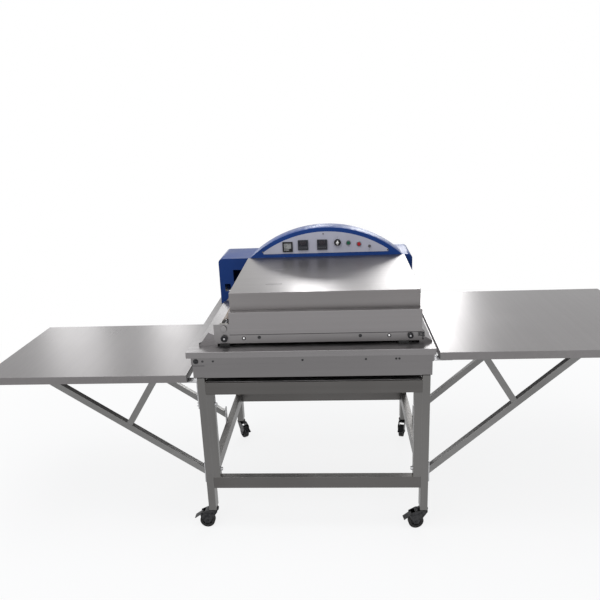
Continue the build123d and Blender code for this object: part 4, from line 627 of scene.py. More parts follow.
class Maker:
    """Builds the mesh of one piece out of turned, flat and swept shapes."""

    def __init__(self) -> None:
        """Starts an empty mesh."""
        self.mesh = bmesh.new()

    def rings(self, rings: Sequence[Sequence[Vector]], caps: bool = True) -> None:
        """Skins a row of closed rings with as many points each; caps fill the first and last."""
        made = [[self.mesh.verts.new(p) for p in ring] for ring in rings]
        count = len(made[0])
        for low, high in zip(made, made[1:]):
            for i in range(count):
                j = (i + 1) % count
                self.mesh.faces.new((low[i], low[j], high[j], high[i]))
        if caps:
            self.mesh.faces.new(list(reversed(made[0])))
            self.mesh.faces.new(made[-1])

    def stack(self, layers: Sequence[Layer], place: Matrix, bored: bool = False) -> None:
        """Skins outlines laid over each other.

        Args:
            layers: Outline and height pairs, above the placement's XY plane.
            place: Where the shape stands.
            bored: Whether the row closes on itself, which leaves a bore through the shape.
        """
        rings = [[place @ Vector((x, y, height)) for x, y in ring] for ring, height in layers]
        self.rings(rings + rings[:1] if bored else rings, caps=not bored)

    def turned(self, profile: Sequence[Flat], place: Matrix, steps: int = 32, bored: bool = False) -> None:
        """Turned shape about a placement's own Z, out of radius and height pairs."""
        self.stack([(polygon(max(radius, 1e-5), steps), height) for radius, height in profile], place, bored)

    def plate(self, outline: Sequence[Flat], thick: float, place: Matrix, edge: float = 0.0) -> None:
        """Flat shape standing on a placement's own XY plane, its far edge rounded over.

        Args:
            outline: Points in order, anticlockwise.
            thick: Height along the placement's Z.
            place: Where the plate stands.
            edge: How much of the far edge is rounded over.
        """
        layers = [(outline, 0.0)]
        for a in [math.pi / 6 * i for i in range(4)] if edge > 0.0 else ():
            layers.append((inset(outline, edge * (1 - math.cos(a))), thick - edge + edge * math.sin(a)))
        self.stack(layers if edge > 0.0 else [*layers, (outline, thick)], place)

    def swept(self, points: Sequence[Vector], radius: Callable[[float], float], steps: int = 6) -> None:
        """Round bar along a row of points.

        Args:
            points: The centre line.
            radius: Radius at a share of the way along.
            steps: Flats round the bar.
        """
        rings = []
        side = None
        for i, here in enumerate(points):
            ahead = points[min(i + 1, len(points) - 1)] - points[max(i - 1, 0)]
            ahead.normalize()
            if side is None:
                side = ahead.orthogonal().normalized()
            side = (side - ahead * side.dot(ahead)).normalized()
            over = ahead.cross(side)
            outline = polygon(radius(i / (len(points) - 1)), steps)
            rings.append([here + side * u + over * v for u, v in outline])
        self.rings(rings)

    def slab(self, low: Sequence[float], high: Sequence[float], edge: float) -> None:
        """Block between two corners in the frame, with its edges broken."""
        a, b = Vector(low), Vector(high)
        size, mid = b - a, (a + b) / 2
        outline = rounded_rectangle(size.x, size.y, edge, 2)
        small = inset(outline, edge)
        layers = ((small, a.z), (outline, a.z + edge), (outline, b.z - edge), (small, b.z))
        self.stack(layers, Matrix.Translation((mid.x, mid.y, 0.0)))

    def stroke(self, start: Vector, end: Vector, half_wide: float, half_thick: float) -> None:
        """Printed line between two points on a face that looks along Y."""
        side = (end - start).normalized().cross(Vector((0.0, 1.0, 0.0))) * half_wide
        deep = Vector((0.0, half_thick, 0.0))
        ways = (side - deep, -side - deep, deep - side, side + deep)
        self.rings([[point + way for way in ways] for point in (start, end)])

    def text(self, words: str, size: float, place: Matrix, thick: float) -> None:
        """Raised print, centred on a placement's XY plane.

        Args:
            words: What it says.
            size: Height of the letters' body.
            place: Where it stands.
            thick: How far it stands proud.
        """
        data = bpy.data.curves.new("print", "FONT")
        data.body = words
        data.size = size
        data.align_x = "CENTER"
        data.align_y = "CENTER"
        data.extrude = thick
        letters = bpy.data.objects.new("print", data)
        mesh = bpy.data.meshes.new_from_object(letters)
        mesh.transform(place)
        self.mesh.from_mesh(mesh)
        bpy.data.objects.remove(letters)
        bpy.data.curves.remove(data)
        bpy.data.meshes.remove(mesh)

    def make(self, name: str, finish: Finish, body: str = "root", sharp: float = 32.0) -> Piece:
        """Turns the mesh into a dressed piece that rides on a body.

        Args:
            name: The piece's name.
            finish: What it is made of.
            body: The body it moves with.
            sharp: Edges that turn more than this many degrees stay sharp.

        Returns:
            The new object.
        """
        bmesh.ops.remove_doubles(self.mesh, verts=self.mesh.verts, dist=2e-6)
        bmesh.ops.dissolve_degenerate(self.mesh, edges=self.mesh.edges, dist=1e-7)
        bmesh.ops.recalc_face_normals(self.mesh, faces=self.mesh.faces)
        data = bpy.data.meshes.new(name)
        self.mesh.to_mesh(data)
        self.mesh.free()
        data.polygons.foreach_set("use_smooth", [True] * len(data.polygons))
        data.set_sharp_from_angle(angle=math.radians(sharp))
        data.materials.append(finish.material())
        piece = linked(name, data)
        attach(piece, body)
        LOG.info("%s: %d faces, %s", name, len(data.polygons), finish.name)
        return piece


def linked(name: str, data: bpy.types.ID) -> Piece:
    """New object in the scene."""
    made = bpy.data.objects.new(name, data)
    bpy.context.scene.collection.objects.link(made)
    return made


def dress(finish: Finish, edge: float, *nodes: str) -> None:
    """Gives nodes of the frame their finish and, where it helps, broken edges.

    Args:
        finish: What they are made of.
        edge: Width that their sharp edges are broken by, in metres, or none.
        nodes: The nodes' names.
    """
    for node in nodes:
        piece = frame["nodes"][node]
        piece.data.materials.clear()
        piece.data.materials.append(finish.material())
        if edge > 0.0:
            weld = piece.modifiers.new("join_faces", "WELD")
            weld.merge_threshold = 2e-6
            flat = piece.modifiers.new("merge_flats", "DECIMATE")
            flat.decimate_type = "DISSOLVE"
            flat.angle_limit = math.radians(0.5)
            broken = piece.modifiers.new("broken_edges", "BEVEL")
            broken.width = edge
            broken.segments = 2
            broken.limit_method = "ANGLE"
            broken.angle_limit = math.radians(35.0)
            broken.harden_normals = True
            broken.miter_outer = "MITER_ARC"
        LOG.info("%s: dressed in %s", node, finish.name)


@dataclass
class Studio:
    """Camera, floor, white surroundings and plain soft lamps.

    Each lamp has its name, place, aim, width and height, and power in watts. One broad lamp hangs
    overhead, a weak fill stands in front, and four behind give the tops their sheen.
    """

    eye: Point = (0.0758, -2.5765, 1.630)
    yaw: float = 0.0669
    pitch: float = 0.2878
    roll: float = -0.041
    lens: float = 36.12
    sensor: float = 36.0
    floor_half: float = 30.0
    world_strength: float = 0.55
    white_near: float = 0.84
    white_from: float = 1.2
    white_to: float = 3.2
    lamps: tuple[tuple[str, Point, Point, Flat, float], ...] = (
        ("overhead", (-0.3, -0.6, 3.4), (0.0, 0.0, 0.8), (3.2, 2.2), 58.0),
        ("front_fill", (-1.6, -3.2, 2.2), (0.0, 0.0, 0.6), (2.0, 1.6), 24.0),
        ("sheen_middle", (-0.22, 4.0, 2.36), (0.0, 0.0, 1.0), (0.42, 0.44), 13.0),
        ("sheen_right", (1.0, 4.0, 2.2), (0.4, 0.0, 1.0), (0.9, 1.2), 24.0),
        ("sheen_left", (-1.85, 4.0, 2.1), (-0.7, 0.0, 0.7), (0.44, 1.6), 5.6),
        ("sheen_far_left", (-3.05, 4.0, 2.1), (-1.0, 0.0, 0.7), (0.6, 1.6), 5.6),
    )

    def camera(self) -> None:
        """Camera at the photograph's place, turned and tilted as its own was."""
        level = Vector((math.cos(self.yaw), math.sin(self.yaw), 0.0))
        ahead = Vector((-level.y, level.x, 0.0)) * math.cos(self.pitch)
        ahead.z = -math.sin(self.pitch)
        up = level.cross(ahead)
        right = math.cos(self.roll) * level + math.sin(self.roll) * up
        top = -math.sin(self.roll) * level + math.cos(self.roll) * up
        data = bpy.data.cameras.new("view")
        data.lens = self.lens
        data.sensor_width = self.sensor
        data.clip_end = 200.0
        camera = linked("view", data)
        turn = Matrix((right, top, -ahead)).transposed().to_4x4()
        camera.matrix_world = Matrix.Translation(Vector(self.eye)) @ turn
        bpy.context.scene.camera = camera

    def backdrop_share(self, sheet: NodeSheet) -> Socket:
        """One on rays that see the surroundings directly, in gloss or through glass."""
        path = sheet.add("ShaderNodeLightPath")
        seen = sheet.math("MAXIMUM", path.outputs["Is Camera Ray"], path.outputs["Is Glossy Ray"])
        return sheet.math("MAXIMUM", seen, path.outputs["Is Transmission Ray"])

    def world(self) -> None:
        """Plain pale surroundings, white where they are seen."""
        world = bpy.data.worlds.new("studio")
        bpy.context.scene.world = world
        sheet = NodeSheet.of(world)
        light = sheet.add("ShaderNodeBackground", {0: (0.9, 0.94, 1.0), 1: self.world_strength})
        white = sheet.add("ShaderNodeBackground", {0: (1.0, 1.0, 1.0), 1: 1.0})
        sheet.mixed_shaders(self.backdrop_share(sheet), light, white, "ShaderNodeOutputWorld")

    def floor(self) -> None:
        """Pale floor that keeps the shadow and turns white further out."""
        half = self.floor_half
        data = bpy.data.meshes.new("studio_floor")
        corners = [(-half, -half, 0.0), (half, -half, 0.0), (half, half, 0.0), (-half, half, 0.0)]
        data.from_pydata(corners, [], [(0, 1, 2, 3)])
        floor = linked("studio_floor", data)
        made = bpy.data.materials.new("studio_floor")
        sheet = NodeSheet.of(made)
        place = sheet.add("ShaderNodeTexCoord").outputs["Object"]
        length = sheet.add("ShaderNodeVectorMath", {0: place}, operation="LENGTH").outputs["Value"]
        share = sheet.mean(sheet.fade(length, self.white_from, self.white_to), self.white_near, 1.0)
        share = sheet.times(share, self.backdrop_share(sheet))
        matt = sheet.add("ShaderNodeBsdfDiffuse", {0: (0.82, 0.82, 0.83)})
        white = sheet.add("ShaderNodeEmission", {0: (1.0, 1.0, 1.0), 1: 1.0})
        sheet.mixed_shaders(share, matt, white, "ShaderNodeOutputMaterial")
        data.materials.append(made)

    def light(self) -> None:
        """Soft rectangular lamps."""
        for name, where, aim, size, power in self.lamps:
            data = bpy.data.lights.new(name, "AREA")
            data.shape = "RECTANGLE"
            data.size, data.size_y = size
            data.energy = power
            lamp = linked(name, data)
            lamp.location = where
            lamp.rotation_mode = "QUATERNION"
            lamp.rotation_quaternion = (Vector(aim) - Vector(where)).to_track_quat("-Z", "Y")
            lamp.visible_camera = False

    def build(self) -> None:
        """Sets up the whole studio."""
        self.camera()
        self.world()
        self.floor()
        self.light()
        bpy.context.scene.view_settings.view_transform = "Standard"
        LOG.info("studio ready")


def joint(name: str) -> dict:
    """The record's entry of one joint."""
    return next(entry for entry in frame["joints"] if entry["name"] == name)


def corners(node: str) -> tuple[Vector, Vector]:
    """Lowest and highest corner of a node at rest."""
    low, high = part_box(node)
    return Vector(low), Vector(high)


@dataclass(frozen=True)
class Fastener:
    """One size of screw: head radius, head height, and the washer's radius where it has one."""

    radius: float
    tall: float
    washer: float = 0.0
    washer_thick: float = 0.0012

    def seat(self, maker: Maker, place: Matrix) -> Matrix:
        """Adds the washer, and gives the placement of the head on it."""
        if not self.washer:
            return place
        r, t = self.washer, self.washer_thick
        maker.turned([(r, 0.0), (r, t - 0.0003), (r - 0.0003, t)], place)
        return raised(place, t)

    def socket(self, maker: Maker, place: Matrix) -> None:
        """Cap screw: chamfered drum with a hexagon hole sunk into it."""
        r, t, sides = self.radius, self.tall, 24
        layers = [(polygon(w, sides), h) for w, h in ((r, 0.0), (r, t - 0.0007), (r - 0.0007, t))]
        for width, height in ((r * 0.56, t), (r * 0.54, t * 0.4), (0.0001, t * 0.34)):
            hole = []
            for i, (x, y) in enumerate(polygon(width, sides)):
                flat = math.cos(math.pi / 6) / math.cos((math.pi * i / 12) % (math.pi / 3) - math.pi / 6)
                hole.append((x * flat, y * flat))
            layers.append((hole, height))
        maker.stack(layers, self.seat(maker, place))

    def dome(self, maker: Maker, place: Matrix) -> None:
        """Button head with a small round recess."""
        r, t = self.radius, self.tall
        curve = [(r * math.cos(a), t * math.sin(a)) for a in (0.0, 0.3, 0.6, 0.9, 1.1)]
        maker.turned([*curve, (r * 0.4, t * 0.94), (r * 0.3, t * 0.45)], self.seat(maker, place), 28)

    def hexagon(self, maker: Maker, place: Matrix) -> None:
        """Hexagon head with a chamfered crown."""
        outline = polygon(self.radius, 6, math.pi / 6)
        maker.plate(outline, self.tall, self.seat(maker, place), min(0.0012, self.tall * 0.3))


def screws(
    name: str, finish: Finish, head: Callable[[Maker, Matrix], None], places: Iterable[Matrix]
) -> None:
    """One piece out of the same head at several placements.

    Args:
        name: The piece's name.
        finish: What it is made of.
        head: A fastener's way to draw its head.
        places: Where the heads sit.
    """
    maker = Maker()
    for place in places:
        head(maker, place)
    maker.make(name, finish)


@dataclass
class Stand:
    """Legs, posts, rails, braces and brackets, with their welds and washers.

    A bolt is given by how far it lies behind the post's front, and its height from the floor.
    """

    edge: float = 0.0012
    leg_wide: float = 0.030
    leg_deep: float = 0.050
    rail_deep: float = 0.030
    rail_tall: float = 0.050
    post_wide: float = 0.030
    brace_side: float = 0.025
    weld_radius: float = 0.0022
    weld_step: float = 0.0022
    weld_gap: float = 0.002
    washer: Flat = (0.0055, 0.0102)
    washer_thick: float = 0.0014
    brace_bolt: Flat = (0.018, 0.278)
    table_bolt: Flat = (0.015, 0.570)

    def bead(self, maker: Maker, start: Vector, run: Vector, gap: float) -> None:
        """Weld bead with its ripples, ending a gap short of both ends of a run."""
        short = run.normalized() * gap
        start, end = start + short, start + run - short
        count = max(4, round((end - start).length / self.weld_step))
        points = [start.lerp(end, i / (2 * count)) for i in range(2 * count + 1)]

        def width(share: float) -> float:
            """Radius at a share of the bead, wider at each ripple."""
            ripple = abs(math.cos(math.pi * share * count))
            fall = min(1.0, 8.0 * min(share, 1.0 - share) + 0.35)
            return self.weld_radius * (0.78 + 0.22 * ripple) * fall

        maker.swept(points, width, 8)

    def welds(self) -> None:
        """Beads in the corners where rails meet legs and posts."""
        low, high = corners("stand_legs")
        rail_low, rail_high = corners("stand_rails")
        heights = (rail_low.z, rail_low.z + self.rail_tall, rail_high.z - self.rail_tall, rail_high.z)
        across, along = Maker(), Maker()
        deep = Vector((0.0, self.rail_deep, 0.0))
        for x, inward in ((low.x + self.leg_wide, 1.0), (high.x - self.leg_wide, -1.0)):
            for y in (low.y, high.y - self.rail_deep):
                for z in heights:
                    post = self.post_wide if z in heights[1:3] else 0.0
                    self.bead(across, Vector((x + inward * post, y, z)), deep, self.weld_gap)
        for x in (low.x, high.x - self.leg_wide):
            for y in (low.y + self.leg_deep, high.y - self.leg_deep):
                for z in heights:
                    self.bead(along, Vector((x, y, z)), Vector((self.leg_wide, 0.0, 0.0)), self.weld_gap)
        across.make("rail_welds", WELD_STEEL)
        along.make("side_welds", WELD_STEEL)

    def brace_welds(self) -> None:
        """Beads round the upper ends of braces under the tables."""
        maker = Maker()
        low, high = corners("wing_braces")
        for x, z in ((low.x, corners("left_table")[0].z), (high.x, corners("right_table")[0].z)):
            for y in (low.y, high.y - self.brace_side):
                self.bead(maker, Vector((x, y, z)), Vector((0.0, self.brace_side, 0.0)), 0.001)
        maker.make("brace_welds", WELD_STEEL)

    def washers(self) -> None:
        """Washers under the domed nuts on the inner posts."""
        maker = Maker()
        low, high = corners("inner_posts")
        (bore, radius), thick = self.washer, self.washer_thick
        rim = [(radius, 0.0), (radius, thick - 0.0003), (radius - 0.0003, thick)]
        profile = [(bore, 0.0), *rim, (bore, thick)]
        left, right = low.x + self.post_wide, high.x - self.post_wide
        for x, (behind, z), face in (
            (left, self.brace_bolt, Face.RIGHT),
            (right, self.brace_bolt, Face.LEFT),
            (left, self.table_bolt, Face.RIGHT),
        ):
            maker.turned(profile, facing((x, low.y + behind, z), face), 28, bored=True)
        maker.make("bolt_washers", ZINC)

    def build(self) -> None:
        """Dresses the stand and adds its details."""
        dress(TUBE_UPRIGHT, self.edge, "stand_legs", "inner_posts")
        dress(TUBE_LEVEL, self.edge, "stand_rails")
        dress(BRACE_TUBE, self.edge, "wing_braces", "wing_struts")
        dress(ZINC, 0.0005, "wing_brackets", "stand_bolts")
        self.welds()
        self.brace_welds()
        self.washers()


@dataclass
class Tables:
    """The two wing tables with the closed welds down their folded corners."""

    seam_inset: float = 0.0010
    seam_radius: float = 0.0009

    def width(self, share: float) -> float:
        """Radius at a share of a seam."""
        return self.seam_radius * (0.9 + 0.1 * math.cos(40 * share))

    def build(self) -> None:
        """Dresses the tables and adds their seams."""
        for node in ("left_table", "right_table"):
            dress(TABLE_STEEL, 0.0014, node)
            low, high = corners(node)
            maker = Maker()
            for x in (low.x + self.seam_inset, high.x - self.seam_inset):
                for y in (low.y + self.seam_inset, high.y - self.seam_inset):
                    foot, head = Vector((x, y, low.z + 0.001)), Vector((x, y, high.z - 0.002))
                    maker.swept([foot.lerp(head, i / 12) for i in range(13)], self.width)
            maker.make(f"{node}_seams", WELD_STEEL)


@dataclass
class Cabinet:
    """Cabinet and deck, with the fasteners along the raised band."""

    bolt: Fastener = Fastener(0.0085, 0.0022, 0.0105)
    screw: Fastener = Fastener(0.0044, 0.0026)
    bolt_inset: float = 0.015
    screw_insets: tuple[float, ...] = (0.041, 0.082, 0.428, 0.669, 0.783, 0.795)
    band_proud: float = 0.004
    # The seam sizes place a dark strip of painted shade in the short open seam under the band.
    seam_from: float = 0.006
    seam_to: float = 0.051
    seam_drop: float = 0.0115
    seam_thin: float = 0.0016

    def build(self) -> None:
        """Dresses cabinet and deck, and adds the band's fasteners and, under the band, a dark strip of
        painted shade where a short open seam shows.
        """
        dress(DECK_STEEL, 0.0012, "deck_plate")
        dress(CABINET_STEEL, 0.0010, "base_cabinet")
        low, high = corners("cabinet_screws")
        cabinet = corners("base_cabinet")[0]
        height = (low.z + high.z) / 2
        maker = Maker()
        left = cabinet.x + self.band_proud
        self.bolt.hexagon(maker, front(left + self.bolt_inset, cabinet.y, height))
        for inset_x in self.screw_insets:
            self.screw.dome(maker, front(left + inset_x, cabinet.y, height))
        piece = maker.make("band_fasteners", BLACK_OXIDE)
        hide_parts("cabinet_screws")
        # Dark strip in the printed dark finish: painted shade where the short open seam under the band shows.
        z = low.z - self.seam_drop
        seam = Maker()
        foot = (cabinet.x + self.seam_from, cabinet.y + 0.0019, z)
        seam.slab(foot, (cabinet.x + self.seam_to, cabinet.y + 0.0027, z + self.seam_thin), 0.0002)
        seam.make("band_seam_painted_shade", PRINT_DARK)


@dataclass
class Castors:
    """Four swivel castors: turned wheels, dressed forks and race covers."""

    names: tuple[str, ...] = ("front_left", "front_right", "rear_left", "rear_right")
    radius: float = 0.0315
    half_wide: float = 0.012
    shoulder: float = 0.0035
    groove: float = 0.0009
    groove_deep: float = 0.0011
    groove_off: float = 0.0042
    tyre_inner: float = 0.0228
    bore: float = 0.00405
    boss: float = 0.0085
    rib_count: int = 6
    race_height: float = 0.0845
    race: tuple[Flat, ...] = (
        (0.0203, 0.0), (0.0208, 0.0008), (0.0208, 0.0028), (0.0200, 0.0036), (0.0188, 0.0038), (0.0188, 0.0)
    )

    def placement(self, name: str) -> Matrix:
        """Placement in the wheel's middle with Z along its axle."""
        spin = joint(f"wheel_{name}_spin")
        return facing(spin["pos_m"], spin["axis"])

    def tyre(self, name: str) -> None:
        """Rubber tyre with round shoulders and two grooves."""
        r, w, s, inner = self.radius, self.half_wide, self.shoulder, self.tyre_inner
        half = [(inner, -w + 0.0012), (inner + 0.003, -w)]
        arc = (0.0, 0.4, 0.8, 1.2, math.pi / 2)
        half += [(r - s + s * math.sin(a), -w + s - s * math.cos(a)) for a in arc]
        for off, deep in ((-1.0, 0.0), (-0.6, self.groove_deep), (0.6, self.groove_deep), (1.0, 0.0)):
            half.append((r - deep, -self.groove_off + off * self.groove))
        maker = Maker()
        maker.turned(mirrored(half), self.placement(name), 56, bored=True)
        maker.make(f"tyre_{name}", TYRE_RUBBER, f"wheel_{name}", 40.0)

    def hub(self, name: str) -> Piece:
        """Moulded hub: rim, thin web, boss and ribs on both sides."""
        w, inner, boss = self.half_wide, self.tyre_inner, self.boss
        half = [
            (self.bore, -w + 0.0006),
            (boss - 0.0008, -w + 0.0006),
            (boss, -w + 0.0014),
            (boss + 0.0006, -0.0032),
            (inner - 0.0028, -0.0032),
            (inner - 0.0018, -w + 0.0022),
            (inner, -w + 0.0014),
        ]
        place = self.placement(name)
        maker = Maker()
        maker.turned(mirrored(half), place, 48, bored=True)
        long, web, rim = inner - 0.0022 - boss, 0.003, w - 0.0026
        outline = [(x + boss + long / 2, y) for x, y in rounded_rectangle(long, 0.0016, 0.0004, 2)]
        for angle in around(self.rib_count):
            for low, high in ((-rim, -web), (web, rim)):
                maker.plate(outline, high - low, raised(place @ Matrix.Rotation(angle, 4, "Z"), low))
        return maker.make(f"hub_{name}", HUB_PLASTIC, f"wheel_{name}", 30.0)

    def race_cover(self, name: str) -> None:
        """Dust ring round the swivel race, above the fork."""
        x, y, _ = joint(f"swivel_{name}_turn")["pos_m"]
        maker = Maker()
        maker.turned(self.race, facing((x, y, self.race_height), Face.UP), 44, bored=True)
        maker.make(f"race_cover_{name}", BLACK_OXIDE)

    def build(self) -> None:
        """Builds the wheels and dresses forks, stems and pedals."""
        dress(ZINC, 0.0004, "castor_stems")
        for name in self.names:
            dress(BLACK_OXIDE, 0.0004, f"castor_fork_{name}")
            dress(PEDAL_STEEL, 0.0005, f"castor_pedal_{name}")
            hub = self.hub(name)
            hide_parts(f"castor_wheel_{name}")
            self.tyre(name)
            self.race_cover(name)


@dataclass
class Head:
    """Press head: frame plates, cover, hood, mouths, belts, rollers and platens."""

    caps: tuple[tuple[str, float], ...] = (("lower_drive", 0.0135), ("lower_idler", 0.0112))
    cap_deep: float = 0.0042
    cover_radius: float = 0.0122
    cap_screw: Fastener = Fastener(0.0042, 0.0020)
    screw: Fastener = Fastener(0.0046, 0.0030, 0.0066)
    ring_screw: Fastener = Fastener(0.0046, 0.0028)
    # Dark ring under each plated toe screw: painted shade round its bright dome.
    ring: Fastener = Fastener(0.0046, 0.0028, 0.0076)
    small: Fastener = Fastener(0.0032, 0.0014)
    black_screws: tuple[Flat, ...] = ((-0.2365, 0.8300), (0.1560, 0.8300))
    light_screws: tuple[Flat, ...] = ((-0.2969, 0.8270), (0.2670, 0.8290))
    clamp_x: float = 0.3905
    clamp_z: float = 0.8270
    hood_inset: float = 0.06
    hood_lift: float = 0.03

    def dress(self) -> None:
        """Finishes of the head's sheets, rollers and gears."""
        dress(PLATE_STEEL, 0.0008, "frame_plates")
        dress(COVER_STEEL, 0.0006, "front_cover")
        dress(HOOD_STEEL, 0.0006, "hood_cover")
        dress(DECK_STEEL, 0.0005, "delivery_chute", "infeed_plate")
        dress(FOOT_RUBBER, 0.001, "machine_feet")
        dress(BELT_CLOTH, 0.0, "lower_belt", "upper_belt")
        for roller in ("drive", "idler"):
            dress(ROLLER_STEEL, 0.0, f"lower_{roller}_roller", f"upper_{roller}_roller")
        dress(GEAR_STEEL, 0.0, "lower_gear", "upper_gear", "motor_pinion")
        dress(GEAR_STEEL, 0.0008, "roller_bearings")
        dress(PLATEN_STEEL, 0.0, "upper_platen", "lower_platen", "heater_rods")

    def shaft_end(self, body: str) -> Matrix:
        """Placement on the front end of a roller's shaft."""
        x, _, z = joint(f"{body}_spin")["pos_m"]
        return front(x, corners(f"{body}_roller")[0].y, z)

    def shaft_caps(self) -> None:
        """Black caps with bright screws on the lower shafts, a plain cover on the upper drive shaft."""
        t = self.cap_deep
        for body, r in self.caps:
            place = self.shaft_end(body)
            cap, bright = Maker(), Maker()
            rim = [(r, -0.0036), (r, t - 0.0012), (r - 0.0012, t), (r * 0.66, t)]
            cap.turned([*rim, (r * 0.62, t * 0.45), (r * 0.4, t * 0.45)], place, 40)
            cap.make(f"{body}_cap", BLACK_PLASTIC, body)
            self.cap_screw.socket(bright, raised(place, t * 0.4))
            bright.make(f"{body}_cap_screw", ZINC, body)
        r = self.cover_radius
        cover = Maker()
        profile = [(r, -0.0032), (r, 0.0006), (r - 0.0012, 0.0016), (r * 0.3, 0.0019), (0.0002, 0.0019)]
        cover.turned(profile, self.shaft_end("upper_drive"), 36)
        cover.make("upper_drive_cover", PLATE_STEEL, "upper_drive")

    def toe_screws(self, face: float) -> None:
        """Screws along the plate's lower strip, dark ones and plated ones; each plated one sits on a dark
        ring of painted shade.
        """
        dark = (front(x, face, z) for x, z in self.black_screws)
        screws("toe_screws_black", BLACK_OXIDE, self.screw.socket, dark)
        # Dark rings behind the plated screws: painted shade round their bright domes.
        washers = Maker()
        light = [self.ring.seat(washers, front(x, face, z)) for x, z in self.light_screws]
        washers.make("toe_shade_rings", BLACK_OXIDE)
        screws("toe_screws_plated", CHROME, self.ring_screw.dome, light)

    def tension_clamp(self, face: float) -> None:
        """Belt tension clamp at the strip's right end: bars drawn together by a screw."""
        x, z = self.clamp_x, self.clamp_z
        bars, screw = Maker(), Maker()
        for lift in (-0.0012, 0.0078):
            bars.slab((x - 0.0135, face - 0.0052, z + lift), (x + 0.0105, face, z + lift + 0.0038), 0.0008)
        for left in (-0.0095, 0.0035):
            bars.slab((x + left, face - 0.0046, z - 0.0012), (x + left + 0.0030, face, z + 0.0116), 0.0006)
        bars.make("tension_bars", BLACK_OXIDE)
        axis = facing((x + 0.0050, face - 0.0024, z - 0.0156), Face.UP)
        screw.turned([(0.0016, 0.0), (0.0016, 0.0300), (0.0012, 0.0304)], axis, 16)
        Fastener(0.0032, 0.0022).hexagon(screw, raised(axis, 0.0270))
        Fastener(0.0036, 0.0040).hexagon(screw, axis)
        screw.make("tension_screw", BLACK_OXIDE)

    def cover_seal(self, face: float) -> None:
        """Dark strip in the rubber finish under the front cover's lower edge: a painted shadow line."""
        low, high = corners("front_cover")
        maker = Maker()
        # Thin dark slab standing in for the shadow line under the cover; painted shadow.
        maker.slab((low.x, face - 0.0011, low.z - 0.0021), (high.x, face, low.z - 0.0001), 0.0003)
        maker.make("cover_seal", FOOT_RUBBER)

    def hood_screws(self) -> None:
        """Small screws that hold the hood's end sheets."""
        low, high = corners("hood_cover")
        spots = []
        for y in (low.y + self.hood_inset, (low.y + high.y) / 2, high.y - self.hood_inset):
            for x, face in ((low.x, Face.LEFT), (high.x, Face.RIGHT)):
                spots.append(facing((x, y, low.z + self.hood_lift), face))
        screws("hood_screws", ZINC, self.small.dome, spots)

    def build(self) -> None:
        """Dresses the head and adds its details."""
        self.dress()
        self.shaft_caps()
        face = corners("frame_plates")[0].y
        self.toe_screws(face)
        self.tension_clamp(face)
        self.cover_seal(face)
        self.hood_screws()


@dataclass
class Housing:
    """Rear housing, arched hood, back panel and what sits behind them."""

    back_screw: Fastener = Fastener(0.0034, 0.0012)
    side_screw: Fastener = Fastener(0.0034, 0.0016, 0.0052)
    back_inset: float = 0.014
    side_inset: float = 0.03
    side_lifts: Flat = (0.02, 0.045)
    louvre_rows: int = 9
    louvre_step: float = 0.014
    louvre_long: float = 0.094
    louvre_groups: tuple[float, ...] = (-0.265, 0.195)
    louvre_column: float = 0.0585
    louvre_deep: float = 0.0018
    housing_top: float = 1.016
    motor_radius: float = 0.030
    fin_count: int = 9
    fin_from: float = 0.05
    fin_step: float = 0.011
    fin: tuple[Flat, ...] = (
        (0.0282, 0.0), (0.0296, 0.0), (0.0300, 0.0012), (0.0296, 0.0024), (0.0282, 0.0024)
    )

    def dress(self) -> None:
        """Finishes of painted sheets and what they hide."""
        dress(BLUE_ENAMEL, 0.0008, "rear_housing")
        dress(BLUE_ENAMEL, 0.0006, "back_panel")
        dress(ARCH_ENAMEL, 0.0006, "control_hood")
        dress(PANEL_OVERLAY, 0.0, "control_panel")
        dress(MOTOR_ENAMEL, 0.0, "drive_motor")
        dress(BLACK_PLASTIC, 0.0008, "relay_rail")
        dress(BLACK_PLASTIC, 0.0, "cable_gland")

    def louvre(self, maker: Maker, middle: Vector) -> None:
        """One pressed lip over a slot, closed at both ends.

        Args:
            maker: Where it is built.
            middle: Middle of the slot on the panel's face.
        """
        rings = []
        for i in range(17):
            side = -1.0 + i / 8.0
            swell = max(0.02, 1.0 - abs(side) ** 5) ** 0.5
            ring = []
            for j in range(7):
                a = math.pi * j / 6
                out = self.louvre_deep * swell * math.sin(a) * (0.55 + 0.45 * math.cos(a))
                lift = 0.0016 + 0.0026 * (1.0 - math.cos(a)) * swell
                ring.append(middle + Vector((side * self.louvre_long / 2, out - 0.0001, lift)))
            rings.append(ring)
        maker.rings(rings)

    def louvres(self) -> None:
        """Pressed lips over the back panel's slots."""
        low, high = corners("back_panel")
        maker = Maker()
        for group in self.louvre_groups:
            for column in (-self.louvre_column, self.louvre_column):
                for row in range(self.louvre_rows):
                    lift = (row - (self.louvre_rows - 1) / 2) * self.louvre_step
                    spot = Vector((group + column, high.y, (low.z + self.housing_top) / 2 + lift))
                    self.louvre(maker, spot)
        maker.make("back_louvres", BLUE_ENAMEL)

    def sheet_screws(self) -> None:
        """Screws round the back panel and in the housing's ends."""
        low, high = corners("back_panel")
        wide = (low.x + self.back_inset, (low.x + high.x) / 2, high.x - self.back_inset)
        tall = (low.z + self.back_inset, high.z - self.back_inset)
        spots = [facing((x, high.y, z), Face.BACK) for x in wide for z in tall]
        screws("back_screws", ZINC, self.back_screw.dome, spots)
        low, high = corners("rear_housing")
        spots = []
        for z in (low.z + self.side_lifts[0], high.z - self.side_lifts[1]):
            for x, face in ((high.x, Face.RIGHT), (low.x, Face.LEFT)):
                spots.append(facing((x, high.y - self.side_inset, z), face))
        screws("housing_screws", ZINC, self.side_screw.dome, spots)

    def motor_fins(self) -> None:
        """Cooling fins round the motor."""
        low, high = corners("drive_motor")
        x, z = (low.x + high.x) / 2, high.z - self.motor_radius
        maker = Maker()
        for i in range(self.fin_count):
            place = facing((x, low.y + self.fin_from + i * self.fin_step, z), Face.BACK)
            maker.turned(self.fin, place, 40, bored=True)
        maker.make("motor_fins", MOTOR_ENAMEL)

    def build(self) -> None:
        """Dresses the housing and adds its details."""
        self.dress()
        self.louvres()
        self.sheet_screws()
        self.motor_fins()


